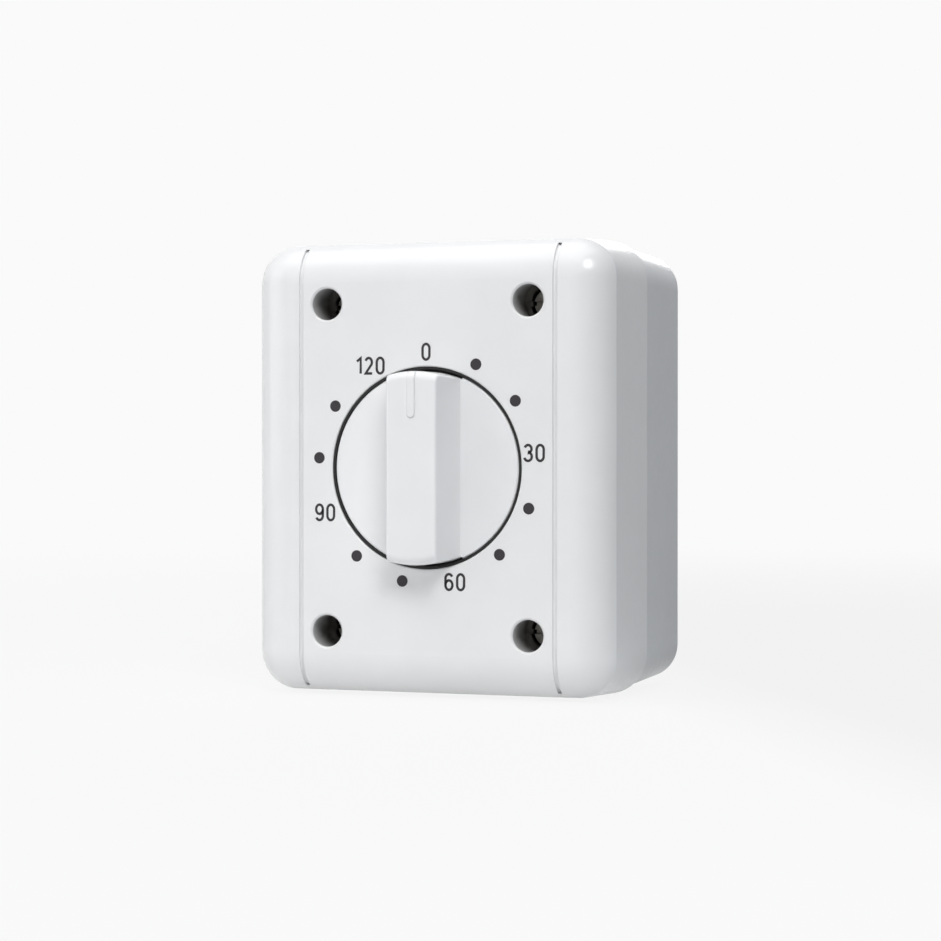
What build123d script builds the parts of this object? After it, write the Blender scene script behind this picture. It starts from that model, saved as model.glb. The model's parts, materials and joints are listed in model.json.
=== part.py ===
from build123d import *
import os
from itertools import product
from math import atan2, cos, degrees, hypot, pi, radians, sin, tan

# Surface-mounted clockwork timer light switch, in millimetres.
# X points right and Z up, as seen from the front. The back face lies on Y = 0 and the front faces -Y.
# Depths are measured back from the flat front of the cover.

# Shared sizes
sheet_thickness = 1.2
pilot_clearance = 0.05
pilot_spare = 1.5
overrun = 1.0

# Knob
knob_radius = 18.8
skirt_inset = 2.0
skirt_radius = knob_radius - skirt_inset
knob_face_depth = 0.3
knob_plate = 1.8
knob_rim_chamfer = 0.25
bar_rise = 8.0
bar_front_width = 10.1
bar_base_width = 14.8
bar_end_inset = 0.35
bar_radius = knob_radius - bar_end_inset
bar_end_round = 1.7
bar_edge_round = 0.5
bar_wall = 1.6
bar_end_wall = 2.15
pointer_width = 1.5
pointer_raise = 0.22
pointer_start = 9.6
skirt_wall = 1.3
skirt_depth = 5.8
hub_radius = 5.2
hub_depth = 7.0
clip_thickness = 0.35
clip_width = 3.2
clip_length = 5.5

# Main arbor
arbor_radius = 3.0
arbor_flat = 2.2
arbor_front = -1.2
arbor_flat_depth = 7.2
arbor_clearance = 0.05
fit_clearance = 0.04
spring_core_radius = 4.2
shoulder_flange = 4.4
shoulder_thickness = 0.7

# Mainspring and its drum
drum_wall = 0.8
drum_length = 5.0
drum_radius = 17.0
drum_ear_reach = 1.4
drum_ear_radius = 2.3
drum_ear_place = drum_radius + drum_ear_reach
drum_bore = 4.6
drum_cover_bore = 3.3
rivet_head = 1.3
rivet_head_height = 0.6
rivet_shank = 0.75
spring_strip = 0.4
spring_pitch = 2.0
spring_side_clearance = 0.3
spring_spare_half_turns = 1
drum_ear_angles = (90.0, 210.0, 330.0)

# Switching cams and contact stack, which set the width of the movement
cam_radius = 9.0
leaf_spring_gap = 1.0
leaf_spring_thickness = 0.4
moving_contact_height = 0.8
contact_gap = 1.6
fixed_contact_height = 1.6
fixed_strip_thickness = 0.6
contact_rest = 2.6
base_wall = 1.6
leaf_spring_place = cam_radius + leaf_spring_gap
moving_contact_start = leaf_spring_place + leaf_spring_thickness / 2
moving_contact_end = moving_contact_start + moving_contact_height
fixed_contact_start = moving_contact_end + contact_gap
fixed_strip_place = fixed_contact_start + fixed_contact_height + fixed_strip_thickness / 2
base_width = 2 * (fixed_strip_place + fixed_strip_thickness / 2 + contact_rest + base_wall)

# Layers of the wheels, counted back from the front plate
wheel_thickness = 1.0
great_thickness = 1.2
escape_thickness = 0.8
fork_thickness = 0.7
pallet_layer_rise = 1.4
pallet_gap = 0.7
layer_gap = 1.7
great_back_gap = 1.6
escape_layer_rise = pallet_layer_rise + fork_thickness + pallet_gap
second_layer_rise = escape_layer_rise + escape_thickness + layer_gap
great_layer_rise = second_layer_rise + wheel_thickness + layer_gap
plate_gap = great_layer_rise + great_thickness + great_back_gap

# Movement plates, as wide as the switch base needs and as high as the drum needs
plate_screw_head = 1.8
base_screw_clearance = 1.6
pillar_margin = 2.6
drum_ear_margin = 5.3
pillar_spacing_x = base_width + 2 * (plate_screw_head + base_screw_clearance)
plate_width = pillar_spacing_x + 2 * pillar_margin
plate_height = 2 * (drum_ear_place + drum_ear_radius + drum_ear_margin)
pillar_spacing_z = plate_height - 2 * pillar_margin
plate_corner = 3.0
pillar_radius = 1.9
plate_screw_head_height = 0.9
plate_screw_shank = 0.8
plate_screw_grip = 3.0
plate_screw_slot = 0.5
bush_radius = 4.2
bush_flange = 5.2
bush_flange_thickness = 0.6

# Support frame, set back by the knob's hub and the spring drum
hub_gap = 0.4
frame_ear_margin = 5.0
frame_ear_reach = 3.0
frame_corner = 4.0
frame_window = 5.6
post_radius = 3.2
post_gap = 1.8
post_place = plate_width / 2 + post_gap + post_radius
frame_width = 2 * (post_place + frame_ear_reach)
frame_screw_head = 2.6
frame_screw_head_height = 0.9
frame_screw_shank = 1.2
frame_screw_length = 9.0
frame_screw_slot = 0.6
frame_depth = hub_depth + hub_gap + drum_wall + drum_length
frame_back = frame_depth + sheet_thickness
front_plate_back = frame_back + sheet_thickness
back_plate_front = front_plate_back + plate_gap
back_plate_back = back_plate_front + sheet_thickness

# Housing, wrapped round the frame and the plates
cover_depth = 23.0
cover_corner = 8.2
cover_draft = 2.23
shoulder_radius = 8.3
shoulder_corner = 8.4
shoulder_sweep = 66.0
cover_wall = 2.2
cavity_bevel = 3.8
box_depth = 25.6
box_draft = 1.6
box_wall = 3.3
box_back_wall = 2.4
seam_step = 0.45
tongue_length = 2.5
tongue_clearance = 0.15
post_inset = 3.75
tower_radius = 4.2
tower_clearance = 1.6
well_end_margin = 12.55
well_side_margin = 16.8
screw_spacing_z = plate_height + 2 * (tower_radius + tower_clearance)
box_width = 2 * (post_place + post_inset + box_wall)
cover_width = box_width + 2 * seam_step
cover_height = screw_spacing_z + 2 * well_end_margin
box_height = cover_height - 2 * seam_step
box_corner = cover_corner - seam_step
screw_spacing_x = cover_width - 2 * well_side_margin
depth_overall = cover_depth + box_depth
back_wall_front = depth_overall - box_back_wall

# Long grooves of the cover
groove_side_margin = 11.4
groove_spacing = cover_width - 2 * groove_side_margin
groove_width = 0.8
groove_depth = 0.5
groove_end_margin = 0.9

# Seam gasket
gasket_width = 0.9
gasket_height = 1.0
gasket_side_clearance = 0.08
gasket_inset = 0.65

# Cover screws in their wells
well_radius = 3.1
well_wall = 1.2
well_depth = 15.4
well_floor = 1.8
well_edge = 0.35
well_rib = 1.2
well_rib_depth = 12.0
tower_gap = 0.3
tower_rib = 1.4
cover_screw_head = 2.75
cover_screw_head_height = 2.4
cover_screw_shank = 1.45
cover_screw_length = 15.0
cover_screw_slot = 0.8
washer_radius = 2.9
washer_thickness = 0.8

# Wall fixing and cable entries
wall_side_margin = 8.55
wall_end_margin = 19.9
wall_spacing_x = box_width - 2 * wall_side_margin
wall_spacing_z = box_height - 2 * wall_end_margin
frame_ear_height = wall_spacing_z - 2 * frame_ear_margin
wall_hole_radius = 2.25
wall_boss_radius = 4.2
wall_boss_height = 1.0
entry_setback = 0.8
entry_depth = cover_depth + box_depth / 2 - entry_setback
entry_radius = 6.5
entry_seat_radius = 8.6
entry_seat_depth = 1.2
entry_boss_radius = 8.6
entry_neck_length = 3.2
grommet_clearance = 0.1
grommet_flange = 0.9
grommet_inner_flange = 7.7
grommet_lip = 1.0
grommet_core = 5.4
grommet_membrane = 0.9
grommet_ring_depth = 0.4
grommet_ring_shares = (0.42, 0.76)
grommet_ring_width = 0.5

# Dial opening and seal
knob_gap = 0.7
dial_radius = knob_radius + knob_gap
dial_edge = 0.2
collar_wall = 1.5
collar_depth = 6.2
collar_flange = 1.2
collar_clearance = 0.6
seal_clearance = 0.1
seal_skirt_clearance = 0.35
seal_height = 2.2
seal_lip_clearance = 0.15
seal_lip_depth = 0.35
collar_throat = skirt_radius + collar_clearance
seal_throat = skirt_radius + seal_skirt_clearance

# Wheel train: each wheel drives the pinion of the next arbor
wheel_teeth = 48
pinion_leaves = 8
great_module = 0.52
second_module = 0.44
third_module = 0.38
fourth_module = 0.33
second_bearing = 225.0
third_bearing = -20.0
fourth_bearing = 22.0
escape_bearing = 58.0
shaft_radius = 0.8
pivot_radius = 0.4
pivot_clearance = 0.03
end_shake = 0.1
wheel_hub_radius = 1.5
wheel_spokes = 4
spoke_width = 1.6
rim_width = 1.7
wheel_boss_width = 2.6
leaf_overlap = 0.3
tooth_rise_share = 1.1
tooth_root_share = 1.25
tooth_width_share = 0.46
tooth_tip_share = 0.14
leaf_rise_share = 0.6
leaf_root_share = 1.5
leaf_width_share = 0.40
leaf_tip_share = 0.14

# Clutch between main arbor and great wheel
clutch_arms = 3
clutch_reach = 9.0
clutch_arm_width = 2.4
clutch_thickness = 0.35
clutch_ring_radius = 4.4
clutch_collar_radius = 4.0
clutch_collar_thickness = 0.7

# Escapement
escape_teeth = 15
escape_radius = 3.8
escape_root = 2.7
escape_tip_share = 0.10
escape_heel_share = 0.42
escape_bearing_to_pallets = 95.0
pallet_half_span = 42.0
pallet_pin_radius = 0.17
pallet_pin_clearance = 0.06
fork_arm_width = 1.1
fork_boss_radius = 1.3
fork_length = 7.0
fork_head_width = 2.2
fork_head_length = 1.3
fork_head_setback = 0.2
fork_slack = 0.13
roller_arm = 1.4
pallet_shaft_radius = 0.6
impulse_pin_radius = 0.32
roller_radius = 2.0
roller_thickness = 0.6
roller_gap = 0.7
balance_radius = 6.4
balance_rim = 1.1
balance_spoke = 1.0
balance_thickness = 1.0
balance_gap = 1.0
balance_rise = escape_layer_rise + escape_thickness + balance_gap
balance_hub = 1.4
hairspring_strip = 0.18
hairspring_pitch = 0.72
hairspring_height = 0.6
hairspring_turns = 4
hairspring_drop = 4.2
collet_radius = 1.0
stud_radius = 0.5

# Stop arm and switching cams
stop_arm_length = 9.2
stop_arm_width = 2.0
stop_arm_hub = 4.6
stop_arm_thickness = 1.0
stop_arm_gap = 0.6
stop_post_place = 8.0
stop_post_radius = 0.9
stop_post_angle = 105.0
stop_post_gap = 0.3
cam_hub_radius = 5.0
cam_thickness = 2.4
cam_spacing = 3.2
cam_gap = 0.4
notch_depth = 2.7
notch_half_width = 2.6

# Switch base and its terminals, measured up from its foot
base_foot_clearance = 6.1
base_foot = box_wall + base_foot_clearance - box_height / 2
base_top = 16.5
base_shoulder_rise = 11.3
base_neck_rise = 8.3
base_shoulder = base_foot + base_shoulder_rise
base_neck = base_foot + base_neck_rise
base_tower_clearance = 0.5
base_foot_width = screw_spacing_x - 2 * (tower_radius + base_tower_clearance)
base_floor = 1.6
base_length = 12.4
terminal_wall = 1.0
clamp_clearance = 0.4
terminal_floor_rise = 3.1
terminal_wall_rise = 14.5
terminal_wall_top = base_foot + terminal_wall_rise
wire_hole_radius = 1.9
terminal_count = 4
terminal_room = base_foot_width - 2 * base_wall + terminal_wall
terminal_pitch = (terminal_room - clamp_clearance / 2) / terminal_count
clamp_width = terminal_pitch - terminal_wall - 2 * clamp_clearance
clamp_wall = 0.5
clamp_height = 4.4
clamp_length = 7.4
clamp_window_width = clamp_width - 2 * clamp_wall
clamp_window_front = 2.0
clamp_window_back = 0.9
clamp_rise = 6.5
clamp_top = base_foot + clamp_rise

# Contact strips
leaf_spring_top = 11.5
leaf_spring_width = 5.6
nose_half_height = 1.7
nose_rise = 2.3
strip_low_rise = 15.5
strip_high_rise = 20.5
fixed_strip_low_rise = 14.5
fixed_strip_high_rise = 17.5
strip_bend_low = base_foot + strip_low_rise
strip_bend_high = base_foot + strip_high_rise
fixed_strip_bend_low = base_foot + fixed_strip_low_rise
fixed_strip_bend_high = base_foot + fixed_strip_high_rise
foot_clearance = 0.2
foot_lead = 0.5
foot_rise = 2.0
foot_top = clamp_top + foot_lead
foot_bottom = base_foot + foot_rise
foot_width = clamp_window_width - 2 * foot_clearance
foot_thickness = 0.6
contact_place = 9.6
contact_radius = 1.4
terminal_screw_head = 2.2
terminal_screw_head_height = 1.6
terminal_screw_shank = 1.2
terminal_screw_length = 5.2
terminal_screw_slot = 0.7
base_post_place = 5.5
base_post_rise = 12.1
base_post_low = base_foot + base_post_rise
base_post_radius = 2.0
base_screw_head = 1.8
base_screw_head_height = 1.2
base_screw_shank = 1.0
base_screw_slot = 0.5


def at(depth):
    """Y of a plane that lies a given depth behind the cover's front."""
    return depth - depth_overall


def face_plane(depth):
    """Plane that faces the user, with X right and Z up."""
    return Plane(origin=(0, at(depth), 0), x_dir=(1, 0, 0), z_dir=(0, -1, 0))


def slab(sketch, front, back):
    """Sketch seen from the front, filled between two depths."""
    return extrude(face_plane(back) * sketch, amount=back - front, dir=(0, -1, 0))


def rod(radius, front, back, place=(0, 0)):
    """Round bar along the depth."""
    return slab(Pos(*place) * Circle(radius), front, back)


def upright(radius, low, high, place_x, depth):
    """Round bar along the height."""
    foot = Plane(origin=(place_x, at(depth), low), x_dir=(1, 0, 0), z_dir=(0, 0, 1))
    return extrude(foot * Circle(radius), amount=high - low)


def bar_between(x_low, x_high, z_low, z_high, front, back):
    """Square bar given by its limits as seen from the front and its two depths."""
    middle = Pos((x_low + x_high) / 2, (z_low + z_high) / 2)
    return slab(middle * Rectangle(x_high - x_low, z_high - z_low), front, back)


def polar(place, distance, angle):
    """Point at a distance and an angle from another, anticlockwise from the right."""
    return (
        place[0] + distance * cos(radians(angle)),
        place[1] + distance * sin(radians(angle)),
    )


def corners(spacing_x, spacing_z):
    """Four places of a rectangular pattern round the middle."""
    return [(sx * spacing_x / 2, sz * spacing_z / 2) for sx, sz in product((-1, 1), (-1, 1))]


def link(start, end, width):
    """Strip with round ends between two places."""
    length = hypot(end[0] - start[0], end[1] - start[1])
    angle = degrees(atan2(end[1] - start[1], end[0] - start[0]))
    middle = Pos((start[0] + end[0]) / 2, (start[1] + end[1]) / 2)
    return middle * Rot(0, 0, angle) * SlotCenterToCenter(length, width)


def ribbon(points, thickness):
    """Thin strip bent through a list of places."""
    outline = link(points[0], points[1], thickness)
    for start, end in zip(points[1:-1], points[2:]):
        outline = outline + link(start, end, thickness)
    return outline


def group(pieces):
    """Separate solids kept together as one node."""
    return Compound(children=[solid for piece in pieces for solid in piece.solids()])


def drafted(width, height, corner, front, back, front_inset, back_inset):
    """Rounded block whose sides move in by a given amount at its front and its back."""

    def ring(inset, depth):
        outline = RectangleRounded(width - 2 * inset, height - 2 * inset, corner - inset)
        return face_plane(depth) * outline

    return loft([ring(front_inset, front), ring(back_inset, back)], ruled=True)


def slotted_screw(place, front, head, head_height, shank, length, slot):
    """Cheese-head screw that points away from the user."""
    body = rod(head, front, front + head_height, place)
    body = body + rod(shank, front + head_height / 2, front + head_height + length, place)
    cut = Pos(*place) * Rectangle(2 * head + overrun, slot)
    return body - slab(cut, front - overrun, front + head_height / 2)


def d_section(radius, flat):
    """Circle with one flat on its right."""
    return Circle(radius) & Pos(flat - radius, 0) * Rectangle(2 * radius, 2 * radius)


# Housing

crease_depth = shoulder_radius * (1 - cos(radians(shoulder_sweep)))
shoulder_overhang = shoulder_radius * (1 - sin(radians(shoulder_sweep)))


def cover_inset(depth):
    """How far the drafted side of the cover lies inside its rim at a depth."""
    return (cover_depth - depth) * tan(radians(cover_draft))


def cover_form(inset, back):
    """Outer form of the cover moved in by an inset, from its front to a depth."""
    reach = shoulder_radius
    grow = 2 * (shoulder_overhang - cover_inset(crease_depth) - inset)
    front_face = RectangleRounded(cover_width + grow, cover_height + grow, shoulder_corner - inset)
    block = slab(front_face, inset, reach + overrun)
    rim = block.faces().sort_by(Axis.Y)[0].edges()
    block = fillet(rim, shoulder_radius - inset)
    sides = drafted(
        cover_width, cover_height, cover_corner, inset, reach,
        cover_inset(inset) + inset, cover_inset(reach) + inset,
    )
    skirt = drafted(
        cover_width, cover_height, cover_corner, reach, back,
        cover_inset(reach) + inset, cover_inset(back) + inset,
    )
    return (block & sides) + skirt


def cover_cavity(inset, back):
    """Space inside the cover, bevelled where the shoulder curves in front of it."""
    room = drafted(
        cover_width, cover_height, cover_corner, inset, back,
        cover_inset(inset) + inset, cover_inset(back) + inset,
    )
    return chamfer(room.faces().sort_by(Axis.Y)[0].edges(), cavity_bevel)


def cover_groove(place_x):
    """Long groove that runs over the top and bottom shoulders."""
    crease_height = cover_height - 2 * cover_inset(crease_depth)
    outline = Pos(place_x, 0) * Rectangle(groove_width, crease_height - 2 * groove_end_margin)
    return slab(outline, -overrun, shoulder_radius) - cover_form(groove_depth, cover_depth)


def well_ribs():
    """Ribs inside the cover that tie each screw well to the side wall."""
    ribs = []
    for x, z in corners(screw_spacing_x, screw_spacing_z):
        side = cover_width / 2 - cover_inset(crease_depth) - cover_wall / 2
        low, high = sorted((x, side if x > 0 else -side))
        ribs.append(
            bar_between(low, high, z - well_rib / 2, z + well_rib / 2, cover_wall, well_rib_depth)
        )
    return ribs


def front_cover():
    """Moulded cover: shell, screw wells, dial collar, ribs and the two grooves."""
    shell = cover_form(0, cover_depth) - cover_cavity(cover_wall, cover_depth + overrun)
    inside = cover_cavity(cover_wall / 2, cover_depth)
    for rib in well_ribs():
        shell = shell + (rib & inside)
    wells = corners(screw_spacing_x, screw_spacing_z)
    for place in wells:
        shell = shell + rod(well_radius + well_wall, cover_wall / 2, well_depth + well_floor, place)
    shell = shell + rod(dial_radius + collar_wall, cover_wall / 2, collar_depth)
    shell = shell - rod(dial_radius, -overrun, collar_depth - collar_flange)
    shell = shell - rod(collar_throat, cover_wall, collar_depth + overrun)
    for place in wells:
        shell = shell - rod(well_radius, -overrun, well_depth, place)
        hole = cover_screw_shank + pilot_clearance
        shell = shell - rod(hole, cover_wall, well_depth + well_floor + overrun, place)
    front = shell.faces().sort_by(Axis.Y)[0]
    rims = front.inner_wires().edges()
    small = rims.filter_by(lambda edge: edge.radius < dial_radius / 2)
    large = rims.filter_by(lambda edge: edge.radius > dial_radius / 2)
    shell = chamfer(small, well_edge)
    shell = chamfer(shell.edges().filter_by(lambda edge: edge in large), dial_edge)
    for side in (-1, 1):
        shell = shell - cover_groove(side * groove_spacing / 2)
    return shell


def box_inset(depth):
    """How far the drafted side of the box lies inside its front edge at a depth."""
    return (depth - cover_depth) * tan(radians(box_draft))


def grommet_seats():
    """Signs of the two cable entries: bottom, then top."""
    return (-1, 1)


seat_height = box_height / 2 - entry_seat_depth


def entry_span(sign, start, end):
    """Lower and upper height of a stretch measured inwards from the seat of an entry."""
    return sorted((sign * (seat_height - start), sign * (seat_height - end)))


def rear_box():
    """Moulded box: drafted walls, tongue, screw towers, posts and cable entries."""
    shell = drafted(
        box_width, box_height, box_corner, cover_depth, depth_overall,
        0, box_inset(depth_overall),
    )
    mouth = cover_depth - tongue_length
    inset = cover_wall + tongue_clearance
    tongue = drafted(
        cover_width, cover_height, cover_corner, mouth, cover_depth,
        cover_inset(mouth) + inset, inset,
    )
    stem = slab(
        RectangleRounded(
            cover_width - 2 * inset, cover_height - 2 * inset, cover_corner - inset
        ),
        cover_depth - tongue_clearance, cover_depth + overrun,
    )
    shell = shell + (tongue + stem)
    cavity = drafted(
        box_width, box_height, box_corner, mouth - overrun, back_wall_front,
        box_wall, box_wall + box_inset(back_wall_front) / 2,
    )
    solid_box = shell
    shell = shell - cavity
    groove_outer = gasket_inset - gasket_side_clearance
    groove_inner = gasket_inset + gasket_width + gasket_side_clearance
    shell = shell - seam_ring(
        groove_outer, groove_inner, cover_depth - overrun, cover_depth + gasket_height
    )
    anchors = []
    tower_front = well_depth + well_floor + tower_gap
    root = depth_overall - box_back_wall / 2
    for x, z in corners(screw_spacing_x, screw_spacing_z):
        anchors.append(rod(tower_radius, tower_front, root, (x, z)))
        wall_z = (box_height / 2 - box_wall / 2) * (1 if z > 0 else -1)
        low, high = sorted((z, wall_z))
        rib = bar_between(
            x - tower_rib / 2, x + tower_rib / 2, low, high, cover_depth + box_wall, root
        )
        anchors.append(rib & solid_box)
    for side in (-1, 1):
        anchors.append(rod(post_radius, frame_back, root, (side * post_place, 0)))
    for place in corners(wall_spacing_x, wall_spacing_z):
        anchors.append(rod(wall_boss_radius, back_wall_front - wall_boss_height, root, place))
    for sign in grommet_seats():
        low, high = entry_span(sign, 0, entry_neck_length)
        anchors.append(upright(entry_boss_radius, low, high, 0, entry_depth))
    for anchor in anchors:
        shell = shell + anchor
    return shell - box_holes()


def box_holes():
    """Everything drilled into the box: pilots, wall holes and cable entries."""
    cuts = []
    head_seat = well_depth - washer_thickness
    for place in corners(screw_spacing_x, screw_spacing_z):
        tip = head_seat + cover_screw_length + pilot_spare
        cuts.append(rod(cover_screw_shank + pilot_clearance, well_depth, tip, place))
    for side in (-1, 1):
        tip = frame_depth + frame_screw_length + pilot_spare
        place = (side * post_place, 0)
        cuts.append(rod(frame_screw_shank + pilot_clearance, frame_depth, tip, place))
    for place in corners(wall_spacing_x, wall_spacing_z):
        front = back_wall_front - wall_boss_height - overrun
        cuts.append(rod(wall_hole_radius, front, depth_overall + overrun, place))
    for sign in grommet_seats():
        low, high = entry_span(sign, 0, entry_neck_length + overrun)
        cuts.append(upright(entry_radius, low, high, 0, entry_depth))
        low, high = entry_span(sign, -entry_seat_depth - overrun, 0)
        cuts.append(upright(entry_seat_radius, low, high, 0, entry_depth))
    return group(cuts)


def seam_ring(outer_inset, inner_inset, front, back):
    """Ring that follows the front edge of the box between two insets."""
    outer = RectangleRounded(
        box_width - 2 * outer_inset, box_height - 2 * outer_inset, box_corner - outer_inset
    )
    inner = RectangleRounded(
        box_width - 2 * inner_inset, box_height - 2 * inner_inset, box_corner - inner_inset
    )
    return slab(outer - inner, front, back)


def housing_gasket():
    """Soft ring pressed between the rim of the cover and the ledge of the box."""
    inner = gasket_inset + gasket_width
    return seam_ring(gasket_inset, inner, cover_depth, cover_depth + gasket_height)


def cover_screws():
    """Four long screws that clamp the cover onto the box."""
    front = well_depth - washer_thickness - cover_screw_head_height
    return group(
        slotted_screw(
            place, front, cover_screw_head, cover_screw_head_height,
            cover_screw_shank, cover_screw_length, cover_screw_slot,
        )
        for place in corners(screw_spacing_x, screw_spacing_z)
    )


def screw_washers():
    """Soft washers under the heads of the cover screws."""
    hole = cover_screw_shank + pilot_clearance
    ring = Circle(washer_radius) - Circle(hole)
    return group(
        slab(Pos(*place) * ring, well_depth - washer_thickness, well_depth)
        for place in corners(screw_spacing_x, screw_spacing_z)
    )


def grommet(sign):
    """Closed rubber grommet with stepped rings, to be cut open for a cable."""

    def disc(radius, start, end):
        low, high = entry_span(sign, start, end)
        return upright(radius, low, high, 0, entry_depth)

    body = disc(entry_seat_radius - grommet_clearance, -grommet_flange, 0)
    body = body + disc(entry_radius - grommet_clearance, -grommet_flange / 2, entry_neck_length)
    body = body + disc(grommet_inner_flange, entry_neck_length, entry_neck_length + grommet_lip)
    floor = grommet_membrane - grommet_flange
    body = body - disc(grommet_core, floor, entry_neck_length + grommet_lip + overrun)
    for share in grommet_ring_shares:
        radius = share * grommet_core
        start = -grommet_flange - overrun
        ring = disc(radius + grommet_ring_width, start, grommet_ring_depth - grommet_flange)
        body = body - (ring - disc(radius, start, grommet_ring_depth))
    return body


def knob_seal():
    """Soft ring on the flange of the dial collar, with a lip that fills the gap round the knob."""
    back = collar_depth - collar_flange
    front = back - seal_height
    ring = rod(dial_radius - seal_clearance, seal_lip_depth, back)
    ring = ring - rod(knob_radius + seal_lip_clearance, seal_lip_depth - overrun, front)
    return ring - rod(seal_throat, front - overrun, back + overrun)


# Knob

def lengthwise(points, half_length):
    """Outline in the cross-section of the grip bar, drawn out along the height."""
    return extrude(
        Plane.XY.offset(-half_length) * Polygon(*points), amount=2 * half_length, dir=(0, 0, 1)
    )


def bar_block(front, back, front_half, base_half, radius):
    """Tapered grip bar cut to length by a circle."""
    points = [
        (-front_half, at(front)),
        (front_half, at(front)),
        (base_half, at(back)),
        (-base_half, at(back)),
    ]
    return lengthwise(points, radius + overrun) & rod(radius, front - overrun, back)


def grip_bar(extra):
    """Outer form of the grip bar, its front moved forward by a small amount."""
    front = knob_face_depth - bar_rise - extra
    underside = knob_face_depth + knob_plate
    bar = bar_block(front, underside, bar_front_width / 2, bar_base_width / 2, bar_radius)
    face = bar.faces().sort_by(Axis.Y)[0]
    bar = fillet(face.edges().filter_by(GeomType.CIRCLE), bar_end_round)
    face = bar.faces().sort_by(Axis.Y)[0]
    return fillet(face.edges().filter_by(GeomType.LINE), bar_edge_round)


def knob_plate_disc():
    """Disc of the knob, cut back a little where the grip bar reaches its edge."""
    disc = rod(knob_radius, knob_face_depth, knob_face_depth + knob_plate)
    disc = chamfer(disc.faces().sort_by(Axis.Y)[0].edges(), knob_rim_chamfer)
    strip = Rectangle(bar_base_width, 2 * knob_radius + overrun) - Circle(bar_radius)
    return disc - slab(strip, knob_face_depth - overrun, knob_face_depth + knob_plate + overrun)


def timer_knob():
    """Knob: disc, hollow grip bar, pointer line, skirt and keyed hub."""
    front = knob_face_depth - bar_rise
    underside = knob_face_depth + knob_plate
    body = knob_plate_disc() + grip_bar(0)
    pointer_run = bar_radius + overrun - pointer_start
    outline = Rot(0, 0, 90) * SlotOverall(pointer_run, pointer_width)
    outline = Pos(0, pointer_start + pointer_run / 2) * outline
    body = body + (grip_bar(pointer_raise) & slab(outline, front - overrun, knob_face_depth))
    inner_front = front + bar_wall
    slope = (bar_base_width - bar_front_width) / 2 / (bar_rise + knob_plate)
    hollow = bar_block(
        inner_front, underside, bar_front_width / 2 - bar_wall + slope * bar_wall,
        bar_base_width / 2 - bar_wall, bar_radius - bar_end_wall,
    )
    body = body - hollow
    body = body + (rod(hub_radius, inner_front - bar_wall / 2, hub_depth) & hub_room())
    skirt = Circle(skirt_radius) - Circle(skirt_radius - skirt_wall)
    body = body + slab(skirt, underside - knob_plate / 2, skirt_depth)
    bore = d_section(arbor_radius + arbor_clearance, arbor_flat + clip_thickness)
    return body - slab(bore, arbor_front - pilot_spare, hub_depth + overrun)


def hub_room():
    """Space that the hub may fill: inside the grip bar, and all of it behind the disc."""
    front = knob_face_depth - bar_rise
    inside = bar_block(
        front, knob_face_depth + knob_plate, bar_front_width / 2 - bar_wall / 2,
        bar_base_width / 2 - bar_wall / 2, bar_radius - bar_wall,
    )
    return inside + rod(hub_radius, knob_face_depth + knob_plate / 2, hub_depth)


def knob_clip():
    """Spring strip that grips the flat of the arbor in the hub."""
    front = hub_depth - clip_length
    return bar_between(
        arbor_flat, arbor_flat + clip_thickness, -clip_width / 2, clip_width / 2, front, hub_depth
    )


# Frame, plates and power

def drum_ear_places():
    """Middle of each ear of the spring drum."""
    return [polar((0, 0), drum_ear_place, angle) for angle in drum_ear_angles]


def support_frame():
    """Sheet-steel frame that carries the movement on the two posts of the box."""
    outline = RectangleRounded(frame_width, frame_ear_height, frame_corner)
    outline = outline + RectangleRounded(plate_width, plate_height, plate_corner)
    outline = outline - Circle(frame_window)
    for side in (-1, 1):
        outline = outline - Pos(side * post_place, 0) * Circle(frame_screw_shank + pilot_clearance)
    for place in corners(pillar_spacing_x, pillar_spacing_z):
        outline = outline - Pos(*place) * Circle(plate_screw_shank + pilot_clearance)
    for place in drum_ear_places():
        outline = outline - Pos(*place) * Circle(rivet_shank + pilot_clearance)
    return slab(outline, frame_depth, frame_back)


def frame_screws():
    """Two screws that hold the frame on the posts."""
    front = frame_depth - frame_screw_head_height
    return group(
        slotted_screw(
            (side * post_place, 0), front, frame_screw_head, frame_screw_head_height,
            frame_screw_shank, frame_screw_length, frame_screw_slot,
        )
        for side in (-1, 1)
    )


def spring_drum():
    """Open drum for the mainspring, with three ears riveted to the frame."""
    front = frame_depth - drum_length
    cup = rod(drum_radius, front, frame_depth)
    cup = cup - rod(drum_radius - drum_wall, front - overrun, frame_depth - drum_wall)
    ears = Circle(drum_radius - drum_wall / 2)
    for place in drum_ear_places():
        ears = ears + link((0, 0), place, 2 * drum_ear_radius)
    cup = cup + slab(ears, frame_depth - drum_wall, frame_depth)
    cup = cup - rod(drum_bore, front, frame_depth + overrun)
    for place in drum_ear_places():
        cup = cup - rod(rivet_shank + pilot_clearance, front, frame_depth + overrun, place)
    return cup


def drum_cover():
    """Lid of the spring drum."""
    back = frame_depth - drum_length
    return slab(Circle(drum_radius) - Circle(drum_cover_bore), back - drum_wall, back)


def drum_rivets():
    """Three rivets through the ears of the drum and the frame."""
    rivets = []
    for place in drum_ear_places():
        head_back = frame_depth - drum_wall
        head = rod(rivet_head, head_back - rivet_head_height, head_back, place)
        rivets.append(head + rod(rivet_shank, head_back - rivet_head_height / 2, frame_back, place))
    return group(rivets)


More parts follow.
